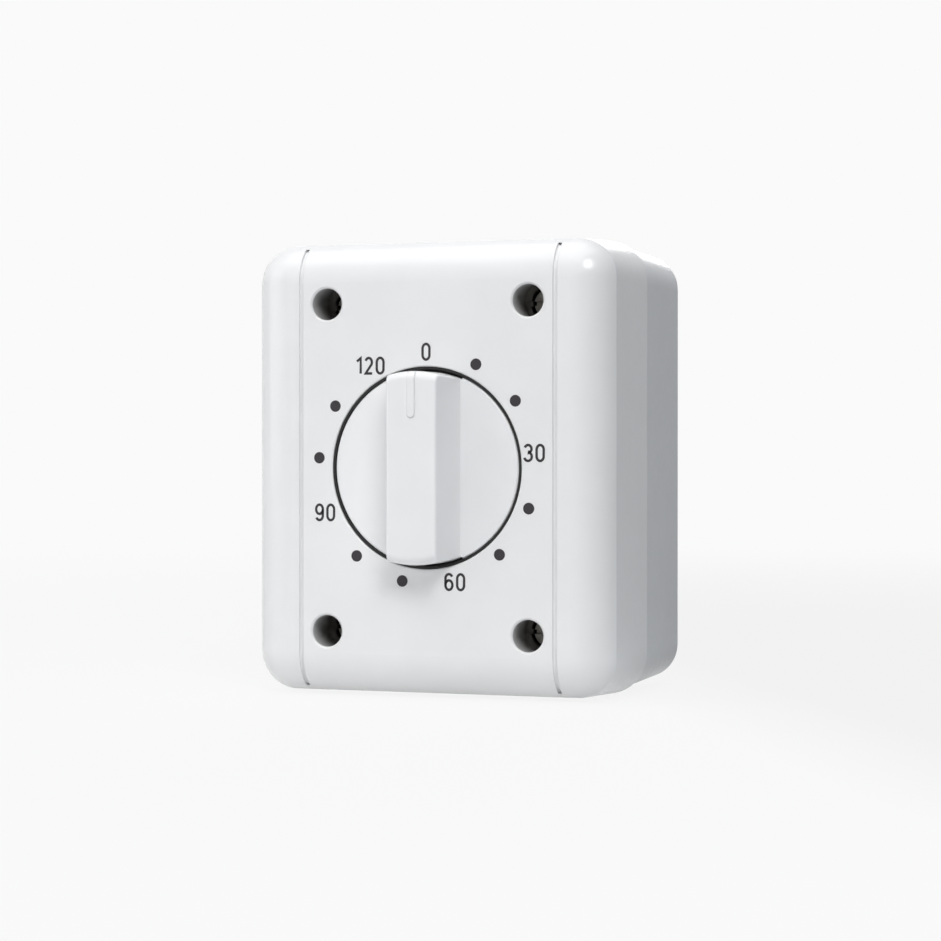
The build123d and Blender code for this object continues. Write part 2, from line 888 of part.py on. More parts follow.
def spiral(inner_radius, pitch, strip, half_turns, front, back, place=(0, 0)):
    """Flat spiral strip built from half circles about two centres."""
    outline = None
    for index in range(half_turns):
        radius = inner_radius + index * pitch / 2
        side = 1 if index % 2 == 0 else -1
        centre = side * pitch / 4
        reach = 2 * (radius + pitch)
        half = Pos(centre, side * reach / 2) * Rectangle(2 * reach, reach)
        arc = Pos(centre, 0) * (Circle(radius + strip / 2) - Circle(radius - strip / 2)) & half
        outline = arc if outline is None else outline + arc
    return slab(Pos(*place) * outline, front, back)


def mainspring():
    """Wound steel strip between the core of the arbor and the wall of the drum."""
    front = frame_depth - drum_length + spring_side_clearance
    back = frame_depth - drum_wall - spring_side_clearance
    inner = spring_core_radius + spring_pitch / 2
    room = drum_radius - drum_wall - spring_core_radius
    half_turns = round(2 * room / spring_pitch) - spring_spare_half_turns
    return spiral(inner, spring_pitch, spring_strip, half_turns, front, back)


def main_arbor():
    """Steel arbor from the knob to the switch base, with spring core and shoulder."""
    back = back_plate_back + base_length - end_shake
    body = rod(arbor_radius, arbor_front, back)
    core_front = frame_depth - drum_length + spring_side_clearance
    body = body + rod(spring_core_radius, core_front, frame_depth - drum_wall - spring_side_clearance)
    shoulder = great_back()
    body = body + rod(shoulder_flange, shoulder, shoulder + shoulder_thickness)
    flats = (
        (arbor_front - overrun, arbor_flat_depth),
        (back_plate_back + stop_arm_gap, cams_front() + 2 * cam_spacing),
    )
    for front, end in flats:
        body = body - bar_between(
            arbor_flat, 2 * arbor_radius, -arbor_radius, arbor_radius, front, end
        )
    return body


arbor_hole = arbor_radius + fit_clearance


def arbor_bushes():
    """Two flanged brass bushes that carry the main arbor."""
    bushes = []
    for plate_front, flange_front in (
        (frame_back, front_plate_back),
        (back_plate_front, back_plate_front - bush_flange_thickness),
    ):
        body = rod(bush_radius, plate_front, plate_front + sheet_thickness)
        body = body + rod(bush_flange, flange_front, flange_front + bush_flange_thickness)
        bushes.append(body - rod(arbor_hole, plate_front - overrun, plate_front + 2 * sheet_thickness))
    return group(bushes)


# Train places and depths

main_place = (0.0, 0.0)


def centre_distance(module):
    """Distance between a wheel and the pinion that it drives."""
    return module * (wheel_teeth + pinion_leaves) / 2


second_place = polar(main_place, centre_distance(great_module), second_bearing)
third_place = polar(second_place, centre_distance(second_module), third_bearing)
fourth_place = polar(third_place, centre_distance(third_module), fourth_bearing)
escape_place = polar(fourth_place, centre_distance(fourth_module), escape_bearing)
pallet_pin_circle = escape_radius + pallet_pin_radius + pallet_pin_clearance
pallet_distance = pallet_pin_circle / cos(radians(pallet_half_span))
pallet_place = polar(escape_place, pallet_distance, escape_bearing_to_pallets)
balance_place = polar(pallet_place, fork_length + roller_arm, escape_bearing_to_pallets)
stud_distance = collet_radius + hairspring_pitch * (hairspring_turns + 1)
stud_place = polar(balance_place, stud_distance, 0)
stop_post_centre = polar(main_place, stop_post_place, stop_post_angle)


def escape_front():
    return front_plate_back + escape_layer_rise


def second_front():
    return front_plate_back + second_layer_rise


def great_front():
    return front_plate_back + great_layer_rise


def great_back():
    return great_front() + great_thickness


def cams_front():
    return back_plate_back + stop_arm_gap + stop_arm_thickness + cam_gap


def pivoted_places():
    """Arbors and staffs whose pivots run in both plates."""
    return [second_place, third_place, fourth_place, escape_place, pallet_place, balance_place]


def movement_plate(front, extra_holes):
    """Brass plate with its pillar holes, pivot holes and the bush hole."""
    outline = RectangleRounded(plate_width, plate_height, plate_corner)
    outline = outline - Circle(bush_radius + pilot_clearance)
    for place in corners(pillar_spacing_x, pillar_spacing_z):
        outline = outline - Pos(*place) * Circle(plate_screw_shank + pilot_clearance)
    for place in pivoted_places():
        outline = outline - Pos(*place) * Circle(pivot_radius + pivot_clearance)
    for place, radius in extra_holes:
        outline = outline - Pos(*place) * Circle(radius)
    return slab(outline, front, front + sheet_thickness)


def base_screw_places():
    """Two screws beside the top of the switch base and one below."""
    height = base_top - base_wall / 2 - base_post_radius
    return [(-base_post_place, height), (base_post_place, height), (0, base_post_low)]


def front_plate():
    """Plate behind the support frame."""
    return movement_plate(frame_back, [])


def back_plate():
    """Plate that carries the stop post, the stud and the switch base."""
    holes = [(place, base_screw_shank + pilot_clearance) for place in base_screw_places()]
    return movement_plate(back_plate_front, holes)


def plate_pillars():
    """Four turned pillars between the plates."""
    ring = Circle(pillar_radius) - Circle(plate_screw_shank + pilot_clearance)
    return group(
        slab(Pos(*place) * ring, front_plate_back, back_plate_front)
        for place in corners(pillar_spacing_x, pillar_spacing_z)
    )


def front_plate_screws():
    """Screws through the frame and the front plate into the pillars."""
    front = frame_depth - plate_screw_head_height
    length = 2 * sheet_thickness + plate_screw_grip
    return group(
        slotted_screw(
            place, front, plate_screw_head, plate_screw_head_height,
            plate_screw_shank, length, plate_screw_slot,
        )
        for place in corners(pillar_spacing_x, pillar_spacing_z)
    )


def rear_screw(place, front_end, seat, head, head_height, shank, slot):
    """Cheese-head screw that points towards the user, its head behind the seat."""
    body = rod(head, seat, seat + head_height, place)
    body = body + rod(shank, front_end, seat + head_height / 2, place)
    cut = Pos(*place) * Rectangle(2 * head + overrun, slot)
    return body - slab(cut, seat + head_height / 2, seat + head_height + overrun)


def back_plate_screws():
    """Screws through the back plate into the pillars."""
    return group(
        rear_screw(
            place, back_plate_front - plate_screw_grip, back_plate_back,
            plate_screw_head, plate_screw_head_height, plate_screw_shank, plate_screw_slot,
        )
        for place in corners(pillar_spacing_x, pillar_spacing_z)
    )


# Wheels and pinions

def toothed_outline(teeth, module, rise, root, width, tip, turn):
    """Closed outline of a toothed wheel, with one tooth centred at an angle."""
    pitch_radius = module * teeth / 2
    step = 2 * pi / teeth
    flank = [
        (-width / 2, pitch_radius - root * module),
        (-width / 2, pitch_radius),
        (-tip / 2, pitch_radius + rise * module),
    ]
    tooth = flank + [(-share, radius) for share, radius in reversed(flank)]
    points = []
    for index in range(teeth):
        middle = radians(turn) + index * step
        for share, radius in tooth:
            angle = middle + share * step
            points.append((radius * cos(angle), radius * sin(angle)))
    return Polygon(*points)


def wheel(place, module, thickness, front, turn, bore):
    """Spoked wheel with a tooth pointing at the arbor that it drives."""
    outline = toothed_outline(
        wheel_teeth, module, tooth_rise_share, tooth_root_share,
        tooth_width_share, tooth_tip_share, turn,
    )
    root_radius = module * (wheel_teeth / 2 - tooth_root_share)
    window = Circle(root_radius - rim_width) - Circle(bore + wheel_boss_width)
    for index in range(wheel_spokes):
        angle = turn + index * 360 / wheel_spokes
        spoke = Pos(root_radius / 2, 0) * Rectangle(root_radius, spoke_width)
        window = window - Rot(0, 0, angle) * spoke
    outline = outline - window - Circle(bore)
    return slab(Pos(*place) * outline, front, front + thickness)


def pinion(place, module, leaf_front, leaf_back, hub_front, hub_back, bearing):
    """Pinion cut on its shaft, with a hub for the wheel and a pivot at each end."""
    outline = toothed_outline(
        pinion_leaves, module, leaf_rise_share, leaf_root_share,
        leaf_width_share, leaf_tip_share, bearing + 180 + 180 / pinion_leaves,
    )
    body = slab(Pos(*place) * outline, leaf_front, leaf_back)
    body = body + rod(wheel_hub_radius, hub_front, hub_back, place)
    return body + pivoted_shaft(place, shaft_radius)


def pivoted_shaft(place, radius):
    """Shaft between the plates with a thin pivot in each."""
    body = rod(radius, front_plate_back + end_shake, back_plate_front - end_shake, place)
    return body + rod(pivot_radius, frame_back + end_shake, back_plate_back - end_shake, place)


def great_wheel():
    """Wheel on the main arbor, seated against its shoulder."""
    return wheel(main_place, great_module, great_thickness, great_front(), second_bearing, arbor_hole)


def clutch_spring():
    """Three-armed spring that presses the great wheel against the shoulder."""
    back = great_front()
    outline = Circle(clutch_ring_radius)
    for index in range(clutch_arms):
        tip = polar(main_place, clutch_reach - clutch_arm_width / 2, 90 + index * 360 / clutch_arms)
        outline = outline + link(main_place, tip, clutch_arm_width)
    return slab(outline - Circle(arbor_hole), back - clutch_thickness, back)


def clutch_collar():
    """Collar that backs the clutch spring."""
    back = great_front() - clutch_thickness
    ring = Circle(clutch_collar_radius) - Circle(arbor_hole)
    return slab(ring, back - clutch_collar_thickness, back)


seat_bore = shaft_radius + fit_clearance / 2


def second_wheel():
    return wheel(second_place, second_module, wheel_thickness, second_front(), third_bearing, seat_bore)


def second_pinion():
    """Leaves in the plane of the great wheel, hub in front of them."""
    leaf_front = great_front() - leaf_overlap
    return pinion(
        second_place, great_module, leaf_front, great_back() + leaf_overlap,
        second_front() + wheel_thickness, leaf_front, second_bearing,
    )


def third_wheel():
    return wheel(third_place, third_module, escape_thickness, escape_front(), fourth_bearing, seat_bore)


def third_pinion():
    """Leaves in the plane of the second wheel, hub in front of them."""
    leaf_front = second_front() - leaf_overlap
    return pinion(
        third_place, second_module, leaf_front, second_front() + wheel_thickness + leaf_overlap,
        escape_front() + escape_thickness, leaf_front, third_bearing,
    )


def fourth_wheel():
    front = second_front()
    return wheel(fourth_place, fourth_module, wheel_thickness, front, escape_bearing, seat_bore)


def fourth_pinion():
    """Leaves in the plane of the third wheel, hub behind them."""
    leaf_back = escape_front() + escape_thickness + leaf_overlap
    return pinion(
        fourth_place, third_module, escape_front() - leaf_overlap, leaf_back,
        leaf_back, second_front(), fourth_bearing,
    )


def escape_wheel():
    """Wheel of pointed teeth with a tooth on the line to the pallets."""
    step = 360 / escape_teeth
    points = []
    for index in range(escape_teeth):
        middle = escape_bearing_to_pallets + index * step
        for share, radius in (
            (-escape_tip_share / 2, escape_radius),
            (escape_tip_share / 2, escape_radius),
            (escape_heel_share, escape_root),
            (1 - escape_heel_share, escape_root),
        ):
            points.append(polar((0, 0), radius, middle + share * step))
    outline = Polygon(*points) - Circle(seat_bore)
    return slab(Pos(*escape_place) * outline, escape_front(), escape_front() + escape_thickness)


def escape_pinion():
    """Leaves in the plane of the fourth wheel, hub in front of them."""
    leaf_front = second_front() - leaf_overlap
    return pinion(
        escape_place, fourth_module, leaf_front, second_front() + wheel_thickness + leaf_overlap,
        escape_front() + escape_thickness, leaf_front, escape_bearing,
    )


# Escapement

def lever_front():
    return front_plate_back + pallet_layer_rise


def pallet_pin_places():
    """The two pins, just clear of the escape wheel while the fork is level."""
    return [
        polar(escape_place, pallet_pin_circle, escape_bearing_to_pallets + side * pallet_half_span)
        for side in (-1, 1)
    ]


def pallet_fork():
    """Lever with two pallet arms and a slotted head for the impulse pin."""
    outline = Pos(*pallet_place) * Circle(fork_boss_radius)
    for pin in pallet_pin_places():
        outline = outline + link(pallet_place, pin, fork_arm_width)
    tip = polar(pallet_place, fork_length - fork_arm_width, escape_bearing_to_pallets)
    outline = outline + link(pallet_place, tip, fork_arm_width)
    turn = Rot(0, 0, escape_bearing_to_pallets)
    head = polar(pallet_place, fork_length - fork_head_setback, escape_bearing_to_pallets)
    outline = outline + Pos(*head) * turn * Rectangle(fork_head_length, fork_head_width)
    slot_width = 2 * (impulse_pin_radius + fork_slack)
    slot_start = polar(pallet_place, fork_length + fork_head_length / 2, escape_bearing_to_pallets)
    slot = Pos(*slot_start) * turn * Rectangle(2 * fork_head_length, slot_width)
    outline = outline - slot - Pos(*pallet_place) * Circle(pallet_shaft_radius + fit_clearance / 2)
    return slab(outline, lever_front(), lever_front() + fork_thickness)


def pallet_pins():
    """Two steel pins that stand on the arms of the fork."""
    back = escape_front() + escape_thickness + leaf_overlap
    return group(
        rod(pallet_pin_radius, lever_front() + fork_thickness, back, place)
        for place in pallet_pin_places()
    )


def pallet_arbor():
    """Arbor of the fork, with a shoulder behind it."""
    body = pivoted_shaft(pallet_place, pallet_shaft_radius)
    back = lever_front() + fork_thickness
    return body + rod(fork_boss_radius, back, back + fork_thickness, pallet_place)


def balance_front():
    return front_plate_back + balance_rise


def balance_wheel():
    """Plain ring balance with two spokes."""
    outline = Circle(balance_radius) - Circle(balance_radius - balance_rim)
    outline = outline + Circle(balance_hub)
    outline = outline + Rectangle(2 * balance_radius - balance_rim, balance_spoke)
    outline = outline - Circle(pallet_shaft_radius + fit_clearance / 2)
    turned = Pos(*balance_place) * Rot(0, 0, escape_bearing_to_pallets) * outline
    return slab(turned, balance_front(), balance_front() + balance_thickness)


def roller_front():
    return lever_front() + fork_thickness + roller_gap


def balance_staff():
    """Staff with the roller in front of the balance and the collet behind it."""
    body = pivoted_shaft(balance_place, pallet_shaft_radius)
    body = body + rod(roller_radius, roller_front(), roller_front() + roller_thickness, balance_place)
    body = body + rod(
        balance_hub, roller_front() + roller_thickness / 2, balance_front(), balance_place
    )
    spring_back = back_plate_front - hairspring_drop + hairspring_height
    return body + rod(
        collet_radius, balance_front() + balance_thickness, spring_back, balance_place
    )


def impulse_pin():
    """Pin on the roller that works in the slot of the fork."""
    place = polar(balance_place, -roller_arm, escape_bearing_to_pallets)
    return rod(impulse_pin_radius, lever_front() - leaf_overlap, roller_front(), place)


def hairspring():
    """Fine spiral between the collet and the stud."""
    front = back_plate_front - hairspring_drop
    inner = collet_radius + hairspring_pitch / 2
    return spiral(
        inner, hairspring_pitch, hairspring_strip, 2 * hairspring_turns,
        front, front + hairspring_height, balance_place,
    )


def hairspring_stud():
    """Stud on the back plate that holds the outer end of the hairspring."""
    return rod(stud_radius, back_plate_front - hairspring_drop, back_plate_front, stud_place)


# Stop and switching cams

def stop_arm():
    """Arm on the main arbor that meets the stop post at both ends of the travel."""
    front = back_plate_back + stop_arm_gap
    tip = (0, stop_arm_length - stop_arm_width / 2)
    outline = Circle(stop_arm_hub) + link(main_place, tip, stop_arm_width)
    outline = outline - d_section(arbor_radius + arbor_clearance, arbor_flat + arbor_clearance)
    return slab(outline, front, front + stop_arm_thickness)


def stop_post():
    """Post riveted to the back plate."""
    back = back_plate_back + stop_arm_gap + stop_arm_thickness + stop_post_gap
    return rod(stop_post_radius, back_plate_back, back, stop_post_centre)


def switching_cams():
    """Two moulded discs on one hub, each with a notch that opens one contact at zero."""
    front = cams_front()
    body = rod(cam_hub_radius, front, front + 2 * cam_spacing)
    for index, side in enumerate((1, -1)):
        start = front + index * cam_spacing
        notch = Polygon(
            (cam_radius - notch_depth, 0),
            (cam_radius + notch_depth, -2 * notch_half_width),
            (cam_radius + notch_depth, 2 * notch_half_width),
        )
        if side < 0:
            notch = Rot(0, 0, 180) * notch
        body = body + slab(Circle(cam_radius) - notch, start, start + cam_thickness)
    bore = d_section(arbor_radius + arbor_clearance, arbor_flat + arbor_clearance)
    return body - slab(bore, front - overrun, front + 2 * cam_spacing + overrun)


# Switch base and contacts

base_back = back_plate_back + base_length


def terminal_places():
    """Middle of each of the four terminals, from left to right."""
    return [(index - (terminal_count - 1) / 2) * terminal_pitch for index in range(terminal_count)]


def base_outline(inset):
    """Outline of the base with a narrower foot for the terminals."""
    half = base_width / 2 - inset
    foot = base_foot_width / 2 - inset
    return Polygon(
        (-foot, base_foot + inset),
        (foot, base_foot + inset),
        (foot, base_neck),
        (half, base_shoulder),
        (half, base_top - inset),
        (-half, base_top - inset),
        (-half, base_shoulder),
        (-foot, base_neck),
    )


def switch_base():
    """Moulded tray behind the back plate with terminal chambers at its foot."""
    floor_front = base_back - base_floor
    body = slab(base_outline(0), back_plate_back, base_back)
    body = body - slab(base_outline(base_wall), back_plate_back - overrun, floor_front)
    ledge = base_foot_width / 2 - base_wall / 2
    body = body + bar_between(
        -ledge, ledge, base_foot + base_wall / 2, clamp_top + overrun,
        base_back - terminal_floor_rise, base_back - base_floor / 2,
    )
    for index in (-1, 0, 1):
        middle = index * terminal_pitch
        body = body + bar_between(
            middle - terminal_wall / 2, middle + terminal_wall / 2,
            base_foot + base_wall / 2, terminal_wall_top,
            back_plate_back + stop_arm_gap, base_back - base_floor / 2,
        )
    for x, z in base_screw_places():
        body = body + rod(base_post_radius, back_plate_back, base_back, (x, z))
    rest = fixed_strip_place + fixed_strip_thickness / 2
    for side in (-1, 1):
        low, high = sorted((side * rest, side * (base_width / 2 - base_wall / 2)))
        body = body + bar_between(
            low, high, contact_place - contact_radius, contact_place + contact_radius,
            back_plate_back + stop_arm_gap, base_back - base_floor / 2,
        )
    return body - base_holes()


def base_holes():
    """Bore for the arbor, screw holes and wire entries."""
    cuts = [rod(arbor_hole, back_plate_back, base_back + overrun)]
    hole = base_screw_shank + pilot_clearance
    for place in base_screw_places():
        cuts.append(rod(hole, back_plate_back - overrun, base_back + overrun, place))
    for x in terminal_places():
        middle = strip_middle() - wire_hole_radius / 2
        cuts.append(
            upright(wire_hole_radius, base_foot - overrun, base_foot + base_wall + overrun, x, middle)
        )
    return group(cuts)


def strip_front():
    return cams_front() + (cam_thickness - leaf_nose_width()) / 2


def leaf_nose_width():
    return cam_thickness - 2 * leaf_overlap


def strip_middle():
    return strip_front() + leaf_spring_width / 2


def terminal_foot(place_x):
    """Flat foot of a contact strip that lies in its clamp."""
    back = strip_front() + leaf_spring_width
    return bar_between(
        place_x - foot_width / 2, place_x + foot_width / 2, foot_bottom, foot_top,
        back - foot_thickness, back,
    )


def contact_springs():
    """Two leaf springs with noses that drop into the cam notches."""
    springs = []
    for side in (1, -1):
        start = side * terminal_pitch / 2
        place = side * leaf_spring_place
        bends = [(start, strip_bend_low), (place, strip_bend_high)]
        strip = ribbon(
            [(start, foot_top), *bends, (place, leaf_spring_top)], leaf_spring_thickness
        )
        spring = slab(strip, strip_front(), strip_front() + leaf_spring_width)
        spring = spring + terminal_foot(start)
        nose = [(place, -nose_half_height), (place, nose_half_height), (place - side * nose_rise, 0)]
        nose_front = strip_front() if side > 0 else strip_front() + cam_spacing
        outline = Polygon(*(nose if side > 0 else reversed(nose)))
        spring = spring + slab(outline, nose_front, nose_front + leaf_nose_width())
        springs.append(spring)
    return group(springs)


def button(radius, side, x_start, x_end):
    """Round contact along X."""
    origin = (side * x_start, at(strip_middle()), contact_place)
    foot = Plane(origin=origin, x_dir=(0, 1, 0), z_dir=(side, 0, 0))
    return extrude(foot * Circle(radius), amount=x_end - x_start)


def contact_tips():
    """Silver contacts on the leaf springs."""
    return group(
        button(contact_radius, side, moving_contact_start, moving_contact_end) for side in (-1, 1)
    )


def fixed_contacts():
    """Stiff strips with the fixed contacts that the springs close on."""
    strips = []
    for side in (1, -1):
        start = side * terminal_pitch * 3 / 2
        place = side * fixed_strip_place
        bends = [(start, fixed_strip_bend_low), (place, fixed_strip_bend_high)]
        strip = ribbon(
            [(start, foot_top), *bends, (place, leaf_spring_top)], fixed_strip_thickness
        )
        body = slab(strip, strip_front(), strip_front() + leaf_spring_width)
        body = body + terminal_foot(start)
        body = body + button(contact_radius, side, fixed_contact_start, fixed_strip_place)
        strips.append(body)
    return group(strips)


def clamp_back():
    return base_back - terminal_floor_rise


def terminal_clamps():
    """Box clamps with a window for the strip and the wire."""
    front = clamp_back() - clamp_length
    clamps = []
    for x in terminal_places():
        body = bar_between(
            x - clamp_width / 2, x + clamp_width / 2, clamp_top - clamp_height, clamp_top,
            front, clamp_back(),
        )
        half = clamp_window_width / 2
        body = body - bar_between(
            x - half, x + half, clamp_top - clamp_height - overrun, clamp_top + overrun,
            front + clamp_window_front, clamp_back() - clamp_window_back,
        )
        hole = rod(
            terminal_screw_shank + pilot_clearance,
            front - overrun, front + clamp_window_front + overrun,
            (x, clamp_top - clamp_height / 2),
        )
        clamps.append(body - hole)
    return group(clamps)


def terminal_screws():
    """Clamp screws that face the user."""
    front = clamp_back() - clamp_length - terminal_screw_head_height
    return group(
        slotted_screw(
            (x, clamp_top - clamp_height / 2), front, terminal_screw_head, terminal_screw_head_height,
            terminal_screw_shank, terminal_screw_length, terminal_screw_slot,
        )
        for x in terminal_places()
    )


def base_screws():
    """Three screws from the rear that hold the base on the back plate."""
    return group(
        rear_screw(
            place, back_plate_front, base_back, base_screw_head, base_screw_head_height,
            base_screw_shank, base_screw_slot,
        )
        for place in base_screw_places()
    )


nodes = {
    "front_cover": front_cover,
    "rear_box": rear_box,
    "housing_gasket": housing_gasket,
    "cover_screws": cover_screws,
    "screw_washers": screw_washers,
    "bottom_grommet": lambda: grommet(-1),
    "top_grommet": lambda: grommet(1),
    "knob_seal": knob_seal,
    "timer_knob": timer_knob,
    "knob_clip": knob_clip,
    "main_arbor": main_arbor,
    "arbor_bushes": arbor_bushes,
    "support_frame": support_frame,
    "frame_screws": frame_screws,
    "spring_drum": spring_drum,
    "drum_cover": drum_cover,
    "drum_rivets": drum_rivets,
    "mainspring": mainspring,
    "front_plate": front_plate,
    "back_plate": back_plate,
    "plate_pillars": plate_pillars,
    "front_plate_screws": front_plate_screws,
    "back_plate_screws": back_plate_screws,
    "great_wheel": great_wheel,
    "clutch_spring": clutch_spring,
    "clutch_collar": clutch_collar,
    "second_wheel": second_wheel,
    "second_pinion": second_pinion,
    "third_wheel": third_wheel,
    "third_pinion": third_pinion,
    "fourth_wheel": fourth_wheel,
    "fourth_pinion": fourth_pinion,
    "escape_wheel": escape_wheel,
    "escape_pinion": escape_pinion,
    "pallet_fork": pallet_fork,
    "pallet_pins": pallet_pins,
    "pallet_arbor": pallet_arbor,
    "balance_wheel": balance_wheel,
    "balance_staff": balance_staff,
    "impulse_pin": impulse_pin,
    "hairspring": hairspring,
    "hairspring_stud": hairspring_stud,
    "stop_arm": stop_arm,
    "stop_post": stop_post,
    "switching_cams": switching_cams,
    "switch_base": switch_base,
    "contact_springs": contact_springs,
    "contact_tips": contact_tips,
    "fixed_contacts": fixed_contacts,
    "terminal_clamps": terminal_clamps,
    "terminal_screws": terminal_screws,
    "base_screws": base_screws,
}

os.makedirs("parts", exist_ok=True)
for name, make in nodes.items():
    export_step(make(), os.path.join("parts", name + ".step"))
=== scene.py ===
import json
from math import cos, pi, radians, sin

import bmesh
import bpy
from mathutils import Matrix, Vector


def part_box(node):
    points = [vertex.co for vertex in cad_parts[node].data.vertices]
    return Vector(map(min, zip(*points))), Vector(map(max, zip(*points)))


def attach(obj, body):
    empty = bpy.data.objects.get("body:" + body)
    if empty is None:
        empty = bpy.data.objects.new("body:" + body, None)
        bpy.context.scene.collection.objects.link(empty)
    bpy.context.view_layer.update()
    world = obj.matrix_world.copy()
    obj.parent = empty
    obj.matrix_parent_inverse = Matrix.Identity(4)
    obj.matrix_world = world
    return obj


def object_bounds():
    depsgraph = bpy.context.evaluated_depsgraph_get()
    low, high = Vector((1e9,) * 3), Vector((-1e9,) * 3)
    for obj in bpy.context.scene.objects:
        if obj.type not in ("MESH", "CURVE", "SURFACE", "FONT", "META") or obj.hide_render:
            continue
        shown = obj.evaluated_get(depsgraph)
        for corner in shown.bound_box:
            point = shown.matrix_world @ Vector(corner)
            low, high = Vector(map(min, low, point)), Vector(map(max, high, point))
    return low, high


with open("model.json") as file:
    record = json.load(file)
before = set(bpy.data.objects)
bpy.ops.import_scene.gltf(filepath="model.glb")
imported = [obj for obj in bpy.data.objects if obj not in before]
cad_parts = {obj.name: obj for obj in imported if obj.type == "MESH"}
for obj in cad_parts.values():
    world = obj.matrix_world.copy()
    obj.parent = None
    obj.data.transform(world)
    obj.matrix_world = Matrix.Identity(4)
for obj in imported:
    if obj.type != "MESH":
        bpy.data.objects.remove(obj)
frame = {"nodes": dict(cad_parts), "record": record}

# Looks of the timer light switch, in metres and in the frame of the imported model.
# X points right and Z up as seen from the front. The back face lies on Y = 0.

cad_low, cad_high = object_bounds()
MM = 0.001

# The photograph's camera: its place as seen from the middle of the cover's flat front and
# how far it looks aside of that middle, in degrees, then its lens and sensor in millimetres
PHOTO_AZIMUTH = 21.41
PHOTO_ELEVATION = 0.42
PHOTO_DISTANCE = 499.9 * MM
PHOTO_YAW = -0.989
PHOTO_PITCH = 0.055
PHOTO_LENS = 99.64
SENSOR_WIDTH = 36.0
CLIP_NEAR = 0.02
CLIP_FAR = 50.0

# Printed dial: minutes run clockwise from the top, a dot or a number every ten minutes
DIAL_STEPS = 12
DIAL_STEP_MINUTES = 10
DIAL_STEP_DEGREES = 27.5
DIAL_TOP_DEGREES = 90.0
DIAL_DOT_CIRCLE = 22.3 * MM
DIAL_DOT_RADIUS = 1.12 * MM
DIAL_DOT_SIDES = 40
DIGIT_HEIGHT = 3.5 * MM
DIGIT_WIDTH = 1.92 * MM
DIGIT_STROKE = 0.5 * MM
DIGIT_GAP = 0.47 * MM
PRINT_PROUD = 0.02 * MM
PRINT_SUNK = 0.03 * MM
SAME_POINT = 0.001 * MM
NUMERAL_PLACES = {
    0: (0.1 * MM, 22.3 * MM),
    30: (22.05 * MM, 2.9 * MM),
    60: (6.0 * MM, -21.8 * MM),
    90: (-21.0 * MM, -8.7 * MM),
    120: (-11.8 * MM, 19.75 * MM),
}

# Middle lines of the digits in shares of their width and height. Two values are a point.
# Six are an arc: its centre, its two radii, then its start and end in degrees.
DIGIT_SHARES = {
    "0": [(0.5, 0.7, 0.5, 0.3, 0, 180), (0.5, 0.3, 0.5, 0.3, 180, 360)],
    "1": [(0.45, 0.78), (1.0, 1.0), (1.0, 0.0)],
    "2": [(0.5, 0.72, 0.47, 0.28, 160, -32), (0.05, 0.0), (1.0, 0.0)],
    "3": [(0.48, 0.755, 0.48, 0.245, 160, -75), (0.47, 0.27, 0.53, 0.27, 75, -165)],
    "6": [(0.5, 0.72, 0.5, 0.28, 25, 180), (0.5, 0.3, 0.5, 0.3, 180, 540)],
}

# An arc is drawn in this many steps for each half turn
HALF_TURN = 180
HALF_TURN_STEPS = 14

# Least cosine at a stroke's corner, which keeps a sharp corner from reaching far out
LEAST_CORNER_COSINE = 0.5

# Screw wells of the cover, and the painted shade on their walls: it starts under the rim, and
# grows by a power of the depth until the walls are dark
WELL_RADIUS = 3.1 * MM
WELL_EDGE_START = WELL_RADIUS + 0.05 * MM
WELL_EDGE_END = WELL_RADIUS + 0.2 * MM
WELL_RIM = 0.3 * MM
WELL_DARK = 8.0 * MM
WELL_POWER = 0.45
SCREW_HEAD_RADIUS = 2.75 * MM

# Colours of the finishes
COVER_WHITE = (0.83, 0.835, 0.84)
# The box's own white plus painted shade: darker than the cover, though it is the same plastic
BOX_WHITE_WITH_SHADE = (0.74, 0.753, 0.765)
KNOB_WHITE = (0.84, 0.845, 0.855)
# Painted shade on the deep walls of the cover's screw wells
WELL_PAINTED_SHADE = (0.07, 0.066, 0.062)
INK_BLACK = (0.036, 0.031, 0.035)
SEAL_BLACK = (0.01, 0.0095, 0.0095)
FOAM_GREY = (0.3, 0.31, 0.32)
GROMMET_GREY = (0.66, 0.665, 0.67)
ZINC = (0.4, 0.38, 0.345)
YELLOW_ZINC = (0.64, 0.6, 0.5)
SILVER = (0.83, 0.82, 0.79)
SHEET_STEEL = (0.6, 0.6, 0.59)
STEEL = (0.56, 0.56, 0.57)
SPRING_BLUE = (0.17, 0.21, 0.33)
SPRING_STRAW = (0.42, 0.36, 0.3)
BRASS = (0.78, 0.58, 0.27)
BRONZE = (0.72, 0.43, 0.25)
MOULDING_BROWN = (0.045, 0.04, 0.036)
NYLON_CREAM = (0.78, 0.75, 0.66)

# Edges that the finishes soften
COVER_EDGE = 0.22 * MM
KNOB_EDGE = 0.25 * MM
SEAL_EDGE = 0.15 * MM
GROMMET_EDGE = 0.2 * MM
METAL_EDGE = 0.08 * MM
TURNED_EDGE = 0.05 * MM
MOULDING_EDGE = 0.15 * MM
NYLON_EDGE = 0.12 * MM
EDGE_SAMPLES = 6

# Most of a noise lies between these two values
NOISE_LOW = 0.35
NOISE_HIGH = 0.65

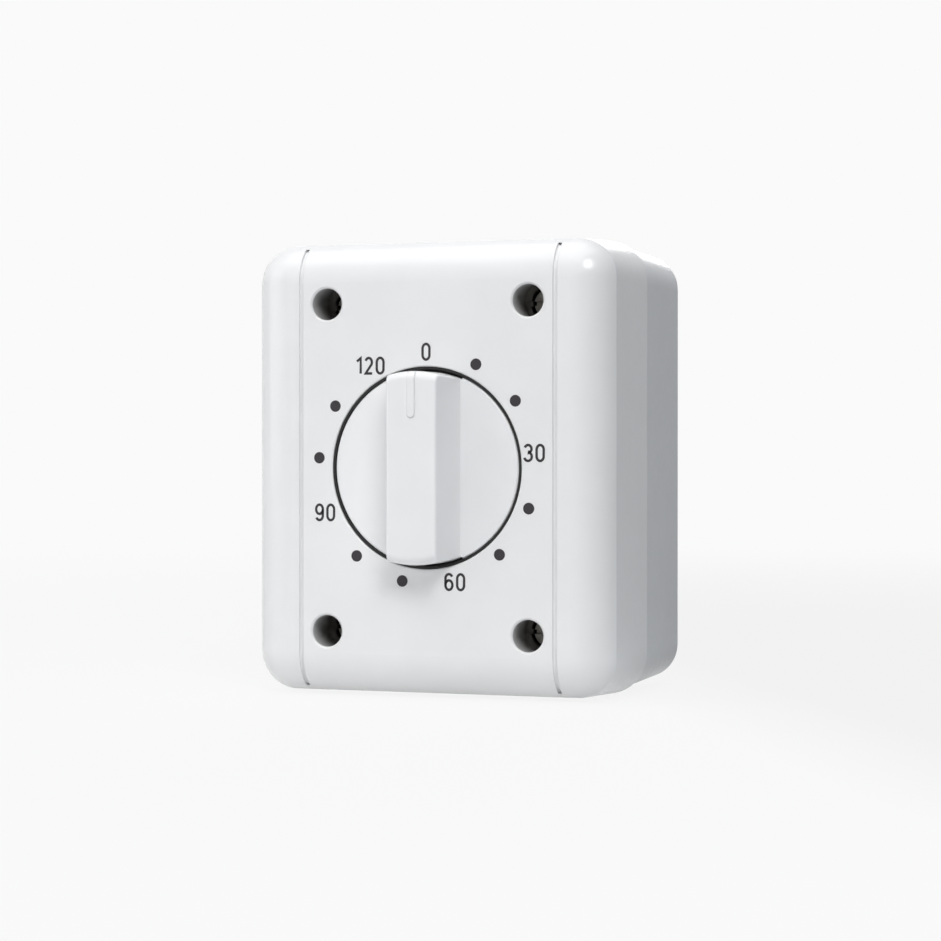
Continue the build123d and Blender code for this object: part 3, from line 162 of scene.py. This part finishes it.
# Patterns in the finishes: the size of their features, the depth and strength of their
# relief, and how they are drawn out along the axes
FLOW_HAZE = 14.0 * MM
ORANGE_PEEL = 1.6 * MM
ORANGE_PEEL_RELIEF = (0.01 * MM, 0.2)
PLASTIC_GRAIN = 0.16 * MM
PLASTIC_GRAIN_RELIEF = (0.003 * MM, 0.25)
RUBBER_SKIN = 0.25 * MM
RUBBER_SKIN_RELIEF = (0.02 * MM, 0.5)
RUBBER_BLOOM = 3.0 * MM
FOAM_CELL = 0.22 * MM
FOAM_CELL_RELIEF = (0.05 * MM, 0.6)
SPANGLE = 0.9 * MM
SCUFF = 0.12 * MM
SCUFF_RELIEF = (0.012 * MM, 0.45)
ROLLING_MARK = 0.1 * MM
ROLLING_MARK_RELIEF = (0.008 * MM, 0.5)
ROLLING_STRETCH = (1.0, 1.0, 0.04)
SHEET_STAIN = 6.0 * MM
TURNING_RING = 0.05 * MM
TURNING_RING_RELIEF = (0.006 * MM, 0.5)
TURNED_STAIN = 2.5 * MM
TEMPER_DRIFT = 7.0 * MM
SPRING_MARK = 0.09 * MM
SPRING_MARK_RELIEF = (0.006 * MM, 0.4)
SPRING_STRETCH = (1.0, 0.05, 1.0)
FILLER_SPECK = 0.35 * MM
FILLER_GRAIN = 0.12 * MM
FILLER_GRAIN_RELIEF = (0.012 * MM, 0.4)
NYLON_CLOUD = 4.0 * MM
NYLON_GRAIN = 0.2 * MM
NYLON_GRAIN_RELIEF = (0.01 * MM, 0.3)
NYLON_SCATTER = 1.0 * MM
INK_COVER = 0.12 * MM
INK_COVER_RELIEF = (0.004 * MM, 0.4)

# Turned pieces, whose finish has rings about their own axis: colour and roughness by slot
TURNED_FINISHES = {"arbor_steel": (STEEL, 0.24), "movement_brass": (BRASS, 0.26)}
MAIN_AXIS = (0.0, 0.0, 0.0)
TURNED_NODES = (
    "main_arbor", "second_pinion", "third_pinion", "fourth_pinion", "escape_pinion",
    "pallet_arbor", "balance_staff", "great_wheel", "second_wheel", "third_wheel",
    "fourth_wheel", "escape_wheel", "balance_wheel", "clutch_collar", "arbor_bushes",
)

# Studio: a white background, light from all round that fades towards the dark side, and
# soft lamps that point at the middle of the object
WHITE = (1.0, 1.0, 1.0, 1.0)
BACKDROP = 0.955
DARK_SIDE = (0.87, 0.5, 0.0)
WORLD_LIGHT = (0.232, 0.243, 0.256)
WORLD_DARK = (0.02, 0.05, 0.085)
WORLD_FADE = (-0.5, 0.3)
LAMP_TINT = (1.0, 0.985, 0.972)
LAMP_TARGET = (0.0, -0.03, 0.0)

# Each lamp has a place, a width, a height and a power in watts
LAMPS = {
    "top_light": ((-0.1, -0.25, 0.9), 0.9, 0.9, 5.0),
    "front_light": ((0.5, -0.82, 0.74), 0.42, 0.42, 6.3),
    "left_light": ((-0.85, -0.5, 0.15), 0.7, 0.9, 2.6),
    "back_light": ((-0.35, 1.15, 0.4), 0.6, 0.6, 4.5),
}

# Floor: it gives back a pale share of the light, which fades to a dark one between two
# distances towards the dark side
FLOOR_HALF = 6.0
FLOOR_GAP = 0.2 * MM
FLOOR_ROUGHNESS = 0.9
FLOOR_PALE = 0.85
FLOOR_DARK = 0.1
FLOOR_FADE = (0.015, 0.05)

# The camera sees plain white mixed into the floor, by the glow's share near the object, and
# by all of it from the far distance on
FLOOR_NEAR = 0.16
FLOOR_FAR = 0.8
FLOOR_GLOW = 0.92


# Node trees

def tone(colour, share):
    """A colour made lighter or darker by a share of itself."""
    return tuple(min(1.0, channel * share) for channel in colour)


class Nodes:
    """Node tree, with the few nodes that the finishes, the world and the floor share."""

    def __init__(self, tree):
        self.tree = tree

    def add(self, kind, inputs, **settings):
        """Adds a node with its settings, and values or other nodes' sockets on its inputs."""
        node = self.tree.nodes.new(kind)
        for name, value in settings.items():
            setattr(node, name, value)
        for name, value in inputs.items():
            self.feed(value, node.inputs[name])
        return node

    def feed(self, value, target):
        """Puts a plain value or another node's socket on an input."""
        if isinstance(value, bpy.types.NodeSocket):
            self.tree.links.new(value, target)
        else:
            target.default_value = value

    def spread(self, value, low, high, start=NOISE_LOW, end=NOISE_HIGH, curve="LINEAR"):
        """A value between two limits."""
        inputs = {
            "Value": value, "From Min": start, "From Max": end, "To Min": low, "To Max": high,
        }
        return self.add("ShaderNodeMapRange", inputs, interpolation_type=curve).outputs["Result"]

    def mix(self, share, first, second):
        """Two colours mixed by a share."""
        inputs = {"Factor": share, "A": first, "B": second}
        return self.add("ShaderNodeMix", inputs, data_type="RGBA").outputs["Result"]

    def mix_shaders(self, share, first, second):
        """Two shaders mixed by a share."""
        inputs = {0: share, 1: first, 2: second}
        return self.add("ShaderNodeMixShader", inputs).outputs["Shader"]

    def calculate(self, operation, first, second):
        """One calculation on two values."""
        inputs = {0: first, 1: second}
        return self.add("ShaderNodeMath", inputs, operation=operation).outputs["Value"]

    def along(self, vector, direction):
        """How far a vector reaches along a direction."""
        inputs = {0: vector, 1: direction}
        node = self.add("ShaderNodeVectorMath", inputs, operation="DOT_PRODUCT")
        return node.outputs["Value"]

    def background_share(self):
        """1 for rays that should see the plain white background."""
        rays = self.add("ShaderNodeLightPath", {}).outputs
        share = self.calculate("MAXIMUM", rays["Is Camera Ray"], rays["Is Glossy Ray"])
        return self.calculate("MAXIMUM", share, rays["Is Transmission Ray"])


class Finish(Nodes):
    """Node tree of one material."""

    def __init__(self, name, **values):
        self.material = bpy.data.materials.new(name)
        self.material.use_nodes = True
        super().__init__(self.material.node_tree)
        self.surface = self.tree.nodes["Principled BSDF"]
        self.place = self.add("ShaderNodeTexCoord", {}).outputs["Object"]
        for socket, value in values.items():
            self.surface.inputs[socket.replace("_", " ")].default_value = value

    def noise(self, size, detail=3.0, roughness=0.55, vector=None):
        """Noise whose main features have a size in metres."""
        inputs = {
            "Scale": 1.0 / size, "Detail": detail, "Roughness": roughness,
            "Vector": vector or self.place,
        }
        return self.add("ShaderNodeTexNoise", inputs).outputs["Fac"]

    def stretched(self, scale):
        """Coordinates stretched by a scale along each axis."""
        inputs = {"Vector": self.place, "Scale": scale}
        return self.add("ShaderNodeMapping", inputs).outputs["Vector"]

    def mirrored(self):
        """Coordinates folded about the middle in width and height."""
        node = self.add("ShaderNodeVectorMath", {0: self.place}, operation="ABSOLUTE")
        return node.outputs["Vector"]

    def depth(self):
        """Y of the shaded point."""
        return self.add("ShaderNodeSeparateXYZ", {"Vector": self.place}).outputs["Y"]

    def round_about(self, centre, vector=None):
        """Distance from an axis along Y through a centre."""
        inputs = {0: vector or self.place, 1: centre}
        shift = self.add("ShaderNodeVectorMath", inputs, operation="SUBTRACT")
        inputs = {0: shift.outputs["Vector"], 1: (1.0, 0.0, 1.0)}
        flatten = self.add("ShaderNodeVectorMath", inputs, operation="MULTIPLY")
        inputs = {0: flatten.outputs["Vector"]}
        return self.add("ShaderNodeVectorMath", inputs, operation="LENGTH").outputs["Value"]

    def blend(self, value, first, second, start=NOISE_LOW, end=NOISE_HIGH):
        """A colour that moves from one to another with a value."""
        node = self.add("ShaderNodeValToRGB", {"Fac": value})
        stops = node.color_ramp.elements
        for stop, position, colour in zip(stops, (start, end), (first, second)):
            stop.position = position
            stop.color = (*colour, 1.0)
        return node.outputs["Color"]

    def shades(self, value, colour, low, high, start=NOISE_LOW, end=NOISE_HIGH):
        """A colour in two tones of itself, one at low values and one at high values."""
        return self.blend(value, tone(colour, low), tone(colour, high), start, end)

    def colour(self, source):
        """Base colour from another node's socket."""
        self.feed(source, self.surface.inputs["Base Color"])

    def rough(self, value, low, high):
        """Roughness that moves between two limits with a value."""
        self.feed(self.spread(value, low, high), self.surface.inputs["Roughness"])

    def rough_about(self, value, middle, reach):
        """Roughness that moves about a middle with a value."""
        self.rough(value, middle - reach, middle + reach)

    def bumps(self, layers, edge=None):
        """Stacks bump layers of (height source, depth, strength) on softened edges."""
        normal = None
        if edge:
            bevel = self.add("ShaderNodeBevel", {"Radius": edge}, samples=EDGE_SAMPLES)
            normal = bevel.outputs["Normal"]
        for height, depth, strength in layers:
            inputs = {"Height": height, "Distance": depth, "Strength": strength}
            if normal:
                inputs["Normal"] = normal
            normal = self.add("ShaderNodeBump", inputs).outputs["Normal"]
        self.feed(normal, self.surface.inputs["Normal"])


# Finishes

def glossy_plastic(name, colour, edge, gloss=0.5, wells=None):
    """Injection-moulded thermoplastic: glossy, with faint orange peel and flow haze.

    Screw wells, given as the centre of one and the Y of their mouths, get painted shade.
    """
    finish = Finish(name, IOR=1.49, Specular_IOR_Level=gloss)
    haze = finish.noise(FLOW_HAZE, detail=2.0)
    peel = finish.noise(ORANGE_PEEL, detail=2.0)
    grain = finish.noise(PLASTIC_GRAIN, detail=2.0)
    body = finish.shades(haze, colour, low=0.985, high=1.01)
    if wells:
        # Painted shade on the walls of the screw wells, darker with depth
        body = finish.mix(well_grime(finish, *wells), body, (*WELL_PAINTED_SHADE, 1.0))
    finish.colour(body)
    finish.rough(peel, low=0.2, high=0.26)
    finish.bumps([(peel, *ORANGE_PEEL_RELIEF), (grain, *PLASTIC_GRAIN_RELIEF)], edge)
    return finish.material


def well_grime(finish, centre, mouth):
    """Share of painted shade on the walls of the four screw wells, more with depth."""
    around = finish.round_about(centre, finish.mirrored())
    inside = finish.spread(around, 1.0, 0.0, WELL_EDGE_START, WELL_EDGE_END)
    deep = finish.spread(finish.depth(), 0.0, 1.0, mouth + WELL_RIM, mouth + WELL_DARK)
    return finish.calculate("MULTIPLY", inside, finish.calculate("POWER", deep, WELL_POWER))


def soft_rubber(name, colour, edge, bloom):
    """Rubber: dull, with a fine moulded skin and a cloudy bloom."""
    finish = Finish(name, IOR=1.5, Specular_IOR_Level=0.4)
    skin = finish.noise(RUBBER_SKIN, detail=4.0)
    cloud = finish.noise(RUBBER_BLOOM)
    finish.colour(finish.shades(cloud, colour, low=1 - bloom, high=1 + bloom))
    finish.rough(skin, low=0.42, high=0.58)
    finish.bumps([(skin, *RUBBER_SKIN_RELIEF)], edge)
    return finish.material


def foam_rubber(name, colour):
    """Closed-cell foam strip."""
    finish = Finish(name, IOR=1.45, Specular_IOR_Level=0.25)
    inputs = {"Scale": 1.0 / FOAM_CELL, "Vector": finish.place}
    cell = finish.add("ShaderNodeTexVoronoi", inputs).outputs["Distance"]
    finish.colour(finish.shades(cell, colour, low=1.1, high=0.7, start=0.2, end=0.7))
    finish.rough(cell, low=0.75, high=0.95)
    finish.bumps([(cell, *FOAM_CELL_RELIEF)])
    return finish.material


def plated_steel(name, colour):
    """Plated steel: soft spangle and fine scuffs."""
    finish = Finish(name, Metallic=1.0)
    cloud = finish.noise(SPANGLE, detail=4.0)
    scuff = finish.noise(SCUFF)
    finish.colour(finish.shades(cloud, colour, low=0.78, high=1.15))
    finish.rough(scuff, low=0.28, high=0.5)
    finish.bumps([(scuff, *SCUFF_RELIEF)], METAL_EDGE)
    return finish.material


def rolled_sheet(name, colour, roughness):
    """Sheet metal with rolling marks along its height and a faint stain."""
    finish = Finish(name, Metallic=1.0)
    lines = finish.noise(ROLLING_MARK, vector=finish.stretched(ROLLING_STRETCH))
    cloud = finish.noise(SHEET_STAIN, detail=4.0)
    finish.colour(finish.shades(cloud, colour, low=0.86, high=1.08))
    finish.rough_about(lines, roughness, reach=0.09)
    finish.bumps([(lines, *ROLLING_MARK_RELIEF)], METAL_EDGE)
    return finish.material


def turned_metal(name, colour, roughness, centre):
    """Metal with fine rings left by turning about its axis."""
    finish = Finish(name, Metallic=1.0)
    outwards = finish.add("ShaderNodeCombineXYZ", {"X": finish.round_about(centre)})
    rings = finish.noise(TURNING_RING, detail=2.0, vector=outwards.outputs["Vector"])
    cloud = finish.noise(TURNED_STAIN, detail=4.0)
    finish.colour(finish.shades(cloud, colour, low=0.88, high=1.08))
    finish.rough_about(rings, roughness, reach=0.07)
    finish.bumps([(rings, *TURNING_RING_RELIEF)], TURNED_EDGE)
    return finish.material


def blued_spring(name, colour):
    """Tempered spring steel whose blue drifts to straw."""
    finish = Finish(name, Metallic=1.0)
    temper = finish.noise(TEMPER_DRIFT)
    lines = finish.noise(SPRING_MARK, detail=2.0, vector=finish.stretched(SPRING_STRETCH))
    finish.colour(finish.blend(temper, colour, SPRING_STRAW, start=0.4, end=0.75))
    finish.rough(lines, low=0.2, high=0.38)
    finish.bumps([(lines, *SPRING_MARK_RELIEF)])
    return finish.material


def thermoset(name, colour):
    """Filled thermoset moulding: dull with pale specks of filler."""
    finish = Finish(name, IOR=1.55)
    specks = finish.noise(FILLER_SPECK, detail=5.0, roughness=0.7)
    grain = finish.noise(FILLER_GRAIN)
    finish.colour(finish.shades(specks, colour, low=1.0, high=1.7, start=0.55, end=0.75))
    finish.rough(grain, low=0.42, high=0.58)
    finish.bumps([(grain, *FILLER_GRAIN_RELIEF)], MOULDING_EDGE)
    return finish.material


def natural_nylon(name, colour):
    """Uncoloured nylon: milky and faintly waxy."""
    finish = Finish(name, IOR=1.53, Subsurface_Weight=0.15, Subsurface_Scale=NYLON_SCATTER)
    cloud = finish.noise(NYLON_CLOUD)
    grain = finish.noise(NYLON_GRAIN, detail=2.0)
    finish.colour(finish.shades(cloud, colour, low=0.95, high=1.03))
    finish.rough(grain, low=0.34, high=0.46)
    finish.bumps([(grain, *NYLON_GRAIN_RELIEF)], NYLON_EDGE)
    return finish.material


def printing_ink(name, colour):
    """Pad-printed ink: thin, a little uneven in cover."""
    finish = Finish(name, IOR=1.5, Specular_IOR_Level=0.3)
    cover = finish.noise(INK_COVER)
    finish.colour(finish.shades(cover, colour, low=0.9, high=1.2))
    finish.rough(cover, low=0.42, high=0.55)
    finish.bumps([(cover, *INK_COVER_RELIEF)])
    return finish.material


def slot_materials():
    """Finish of each material slot, and the cover's own, with painted shade in its screw wells.
    """
    screws_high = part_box("cover_screws")[1]
    well = (screws_high.x - SCREW_HEAD_RADIUS, 0.0, screws_high.z - SCREW_HEAD_RADIUS)
    return {
        "cover_white": glossy_plastic(
            "cover_white", COVER_WHITE, COVER_EDGE, wells=(well, cover_front()),
        ),
        # The box's colour holds painted shade, darker than the cover's white
        "housing_white": glossy_plastic("housing_white", BOX_WHITE_WITH_SHADE, COVER_EDGE, gloss=0.14),
        "knob_white": glossy_plastic("knob_white", KNOB_WHITE, KNOB_EDGE),
        "seal_black": soft_rubber("seal_black", SEAL_BLACK, SEAL_EDGE, bloom=0.2),
        "gasket_grey": foam_rubber("gasket_grey", FOAM_GREY),
        "grommet_grey": soft_rubber("grommet_grey", GROMMET_GREY, GROMMET_EDGE, bloom=0.02),
        "screw_steel": plated_steel("screw_steel", ZINC),
        "frame_steel": rolled_sheet("frame_steel", SHEET_STEEL, roughness=0.36),
        "arbor_steel": turned_metal("arbor_steel", STEEL, roughness=0.26, centre=MAIN_AXIS),
        "movement_brass": rolled_sheet("movement_brass", BRASS, roughness=0.28),
        "spring_steel": blued_spring("spring_steel", SPRING_BLUE),
        "switch_moulding": thermoset("switch_moulding", MOULDING_BROWN),
        "cam_nylon": natural_nylon("cam_nylon", NYLON_CREAM),
        "contact_bronze": rolled_sheet("contact_bronze", BRONZE, roughness=0.3),
        "contact_silver": plated_steel("contact_silver", SILVER),
        "clamp_steel": plated_steel("clamp_steel", YELLOW_ZINC),
    }


def dress_nodes():
    """Gives each CAD node the finish of its slot, turned pieces with rings about their axis."""
    finishes = slot_materials()
    for part in frame["record"]["subparts"]:
        node = part["node"]
        slot = part["material_slot"]
        finish = finishes["cover_white" if node == "front_cover" else slot]
        if node in TURNED_NODES:
            low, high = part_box(node)
            colour, roughness = TURNED_FINISHES[slot]
            finish = turned_metal(slot + "_" + node, colour, roughness, (low + high) / 2)
        mesh = frame["nodes"][node].data
        mesh.materials.clear()
        mesh.materials.append(finish)


# Printed dial

def arc(centre_x, centre_z, radius_x, radius_z, start, end):
    """Points on an elliptic arc between two angles in degrees."""
    steps = HALF_TURN_STEPS * round(abs(end - start) / HALF_TURN)
    angles = [radians(start + (end - start) * k / steps) for k in range(steps + 1)]
    return [(centre_x + radius_x * cos(a), centre_z + radius_z * sin(a)) for a in angles]


def digit_shares(digit):
    """Points on the middle line of a digit inside a unit box. A 9 is a 6 turned round."""
    points = []
    for piece in DIGIT_SHARES["6" if digit == "9" else digit]:
        points += [piece] if len(piece) == 2 else arc(*piece)
    if digit == "9":
        points = [(1 - x, 1 - z) for x, z in points]
    return points


def stroke(mesh, points, width, front, back, closed):
    """Adds a flat ribbon of a width along points, between two depths."""
    count = len(points)
    sides = []
    for index, point in enumerate(points):
        before = points[index - 1] if closed or index else point
        after = points[(index + 1) % count] if closed or index < count - 1 else point
        along_in = (point - before).normalized()
        along_out = (after - point).normalized()
        along = (along_in + along_out).normalized()
        normal = Vector((-along.y, along.x))
        reference = along_in if along_in.length else along_out
        cosine = normal.dot(Vector((-reference.y, reference.x)))
        reach = width / 2 / max(LEAST_CORNER_COSINE, cosine)
        sides.append((point + normal * reach, point - normal * reach))
    rings = [
        [
            mesh.verts.new((p.x, depth, p.y))
            for p, depth in ((a, front), (b, front), (b, back), (a, back))
        ]
        for a, b in sides
    ]
    pairs = list(zip(rings, rings[1:]))
    if closed:
        pairs.append((rings[-1], rings[0]))
    for first, second in pairs:
        bridge(mesh, first, second)
    if not closed:
        mesh.faces.new(rings[0])
        mesh.faces.new(list(reversed(rings[-1])))


def bridge(mesh, first, second):
    """Joins two rings of corners by a band of faces."""
    for k in range(len(first)):
        following = (k + 1) % len(first)
        mesh.faces.new((first[k], second[k], second[following], first[following]))


def finished(name, mesh, body, finish):
    """Turns a built mesh into a piece that rides on a body."""
    bmesh.ops.remove_doubles(mesh, verts=mesh.verts, dist=SAME_POINT)
    bmesh.ops.recalc_face_normals(mesh, faces=mesh.faces)
    data = bpy.data.meshes.new(name)
    mesh.to_mesh(data)
    mesh.free()
    piece = bpy.data.objects.new(name, data)
    bpy.context.scene.collection.objects.link(piece)
    data.materials.append(finish)
    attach(piece, body)


def cover_front():
    """Y of the cover's flat front."""
    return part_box("front_cover")[0].y


def print_depths():
    """Y of the front and the back of the print."""
    return cover_front() - PRINT_PROUD, cover_front() + PRINT_SUNK


def dial_numbers(ink):
    """Plain minute numbers beside the dial, upright."""
    mesh = bmesh.new()
    front, back = print_depths()
    inner_width = DIGIT_WIDTH - DIGIT_STROKE
    inner_height = DIGIT_HEIGHT - DIGIT_STROKE
    pitch = DIGIT_WIDTH + DIGIT_GAP
    for minutes, (x, z) in NUMERAL_PLACES.items():
        text = str(minutes)
        for index, digit in enumerate(text):
            left = x + (index - (len(text) - 1) / 2) * pitch - inner_width / 2
            low = z - inner_height / 2
            points = []
            for u, v in digit_shares(digit):
                point = Vector((left + u * inner_width, low + v * inner_height))
                if not points or (point - points[-1]).length > SAME_POINT:
                    points.append(point)
            closed = digit == "0"
            if closed:
                points.pop()
            stroke(mesh, points, DIGIT_STROKE, front, back, closed)
    finished("dial_numbers", mesh, "housing", ink)


def dial_dots(ink):
    """Round dots at the steps that have no number."""
    mesh = bmesh.new()
    for step in range(1, DIAL_STEPS):
        if step * DIAL_STEP_MINUTES in NUMERAL_PLACES:
            continue
        angle = radians(DIAL_TOP_DEGREES - step * DIAL_STEP_DEGREES)
        x = DIAL_DOT_CIRCLE * cos(angle)
        z = DIAL_DOT_CIRCLE * sin(angle)
        turns = [2 * pi * k / DIAL_DOT_SIDES for k in range(DIAL_DOT_SIDES)]
        outline = [(x + DIAL_DOT_RADIUS * cos(t), z + DIAL_DOT_RADIUS * sin(t)) for t in turns]
        front, back = [
            [mesh.verts.new((u, depth, v)) for u, v in outline] for depth in print_depths()
        ]
        mesh.faces.new(front)
        mesh.faces.new(list(reversed(back)))
        bridge(mesh, front, back)
    finished("dial_dots", mesh, "housing", ink)


# Studio

def aim(thing, place, target):
    """Puts a thing at a place and turns it towards a target."""
    turn = (Vector(target) - Vector(place)).to_track_quat("-Z", "Y").to_matrix().to_4x4()
    thing.matrix_world = Matrix.Translation(place) @ turn


def lamps():
    """Soft light from above, from the front, from the left and, weaker, from behind."""
    for name, (place, width, height, power) in LAMPS.items():
        data = bpy.data.lights.new(name, "AREA")
        data.shape = "RECTANGLE"
        data.color = LAMP_TINT
        data.size = width
        data.size_y = height
        data.energy = power
        lamp = bpy.data.objects.new(name, data)
        bpy.context.scene.collection.objects.link(lamp)
        aim(lamp, place, LAMP_TARGET)


def studio_world():
    """White background, with a softer light from all round that fades on the dark side."""
    world = bpy.data.worlds.new("studio")
    world.use_nodes = True
    bpy.context.scene.world = world
    nodes = Nodes(world.node_tree)
    towards = nodes.add("ShaderNodeTexCoord", {}).outputs["Generated"]
    dark_share = nodes.spread(nodes.along(towards, DARK_SIDE), 0.0, 1.0, *WORLD_FADE)
    light = nodes.tree.nodes["Background"]
    tint = nodes.mix(dark_share, (*WORLD_LIGHT, 1.0), (*WORLD_DARK, 1.0))
    nodes.feed(tint, light.inputs["Color"])
    backdrop = nodes.add("ShaderNodeBackground", {"Color": WHITE, "Strength": BACKDROP})
    seen = nodes.mix_shaders(
        nodes.background_share(), light.outputs["Background"], backdrop.outputs["Background"],
    )
    nodes.feed(seen, nodes.tree.nodes["World Output"].inputs["Surface"])


def floor_material():
    """Pale floor that gives back less light on the dark side and fades into the backdrop."""
    material = bpy.data.materials.new("floor")
    material.use_nodes = True
    nodes = Nodes(material.node_tree)
    place = nodes.add("ShaderNodeNewGeometry", {}).outputs["Position"]
    bounce = nodes.spread(nodes.along(place, DARK_SIDE), FLOOR_PALE, FLOOR_DARK, *FLOOR_FADE)
    surface = nodes.tree.nodes["Principled BSDF"]
    nodes.feed(bounce, surface.inputs["Base Color"])
    surface.inputs["Roughness"].default_value = FLOOR_ROUGHNESS
    surface.inputs["Specular IOR Level"].default_value = 0.0
    glow = nodes.add("ShaderNodeEmission", {"Color": WHITE, "Strength": BACKDROP})
    away = nodes.add("ShaderNodeVectorMath", {0: place}, operation="LENGTH").outputs["Value"]
    fade = nodes.spread(away, FLOOR_GLOW, 1.0, FLOOR_NEAR, FLOOR_FAR, curve="SMOOTHSTEP")
    share = nodes.calculate("MULTIPLY", nodes.background_share(), fade)
    seen = nodes.mix_shaders(share, surface.outputs["BSDF"], glow.outputs["Emission"])
    nodes.feed(seen, nodes.tree.nodes["Material Output"].inputs["Surface"])
    return material


def floor():
    """Floor under the housing that keeps a soft shadow."""
    mesh = bmesh.new()
    bmesh.ops.create_grid(mesh, x_segments=1, y_segments=1, size=FLOOR_HALF)
    data = bpy.data.meshes.new("floor")
    mesh.to_mesh(data)
    mesh.free()
    data.materials.append(floor_material())
    piece = bpy.data.objects.new("floor", data)
    piece.location = (0.0, 0.0, cad_low.z - FLOOR_GAP)
    bpy.context.scene.collection.objects.link(piece)


def direction(azimuth, elevation):
    """Unit vector at angles in degrees from the front and from level."""
    a = radians(azimuth)
    e = radians(elevation)
    return Vector((sin(a) * cos(e), -cos(a) * cos(e), sin(e)))


def photo_camera():
    """Camera at the photograph's angle, distance and lens."""
    data = bpy.data.cameras.new("photo_camera")
    data.lens = PHOTO_LENS
    data.sensor_width = SENSOR_WIDTH
    data.clip_start = CLIP_NEAR
    data.clip_end = CLIP_FAR
    camera = bpy.data.objects.new("photo_camera", data)
    bpy.context.scene.collection.objects.link(camera)
    middle = Vector((0.0, cover_front(), 0.0))
    place = middle + PHOTO_DISTANCE * direction(PHOTO_AZIMUTH, PHOTO_ELEVATION)
    look = direction(PHOTO_AZIMUTH + PHOTO_YAW, PHOTO_ELEVATION + PHOTO_PITCH)
    aim(camera, place, place - look)
    bpy.context.scene.camera = camera


dress_nodes()
ink = printing_ink("dial_print", INK_BLACK)
dial_numbers(ink)
dial_dots(ink)
studio_world()
floor()
lamps()
photo_camera()
bpy.context.scene.view_settings.view_transform = "Standard"
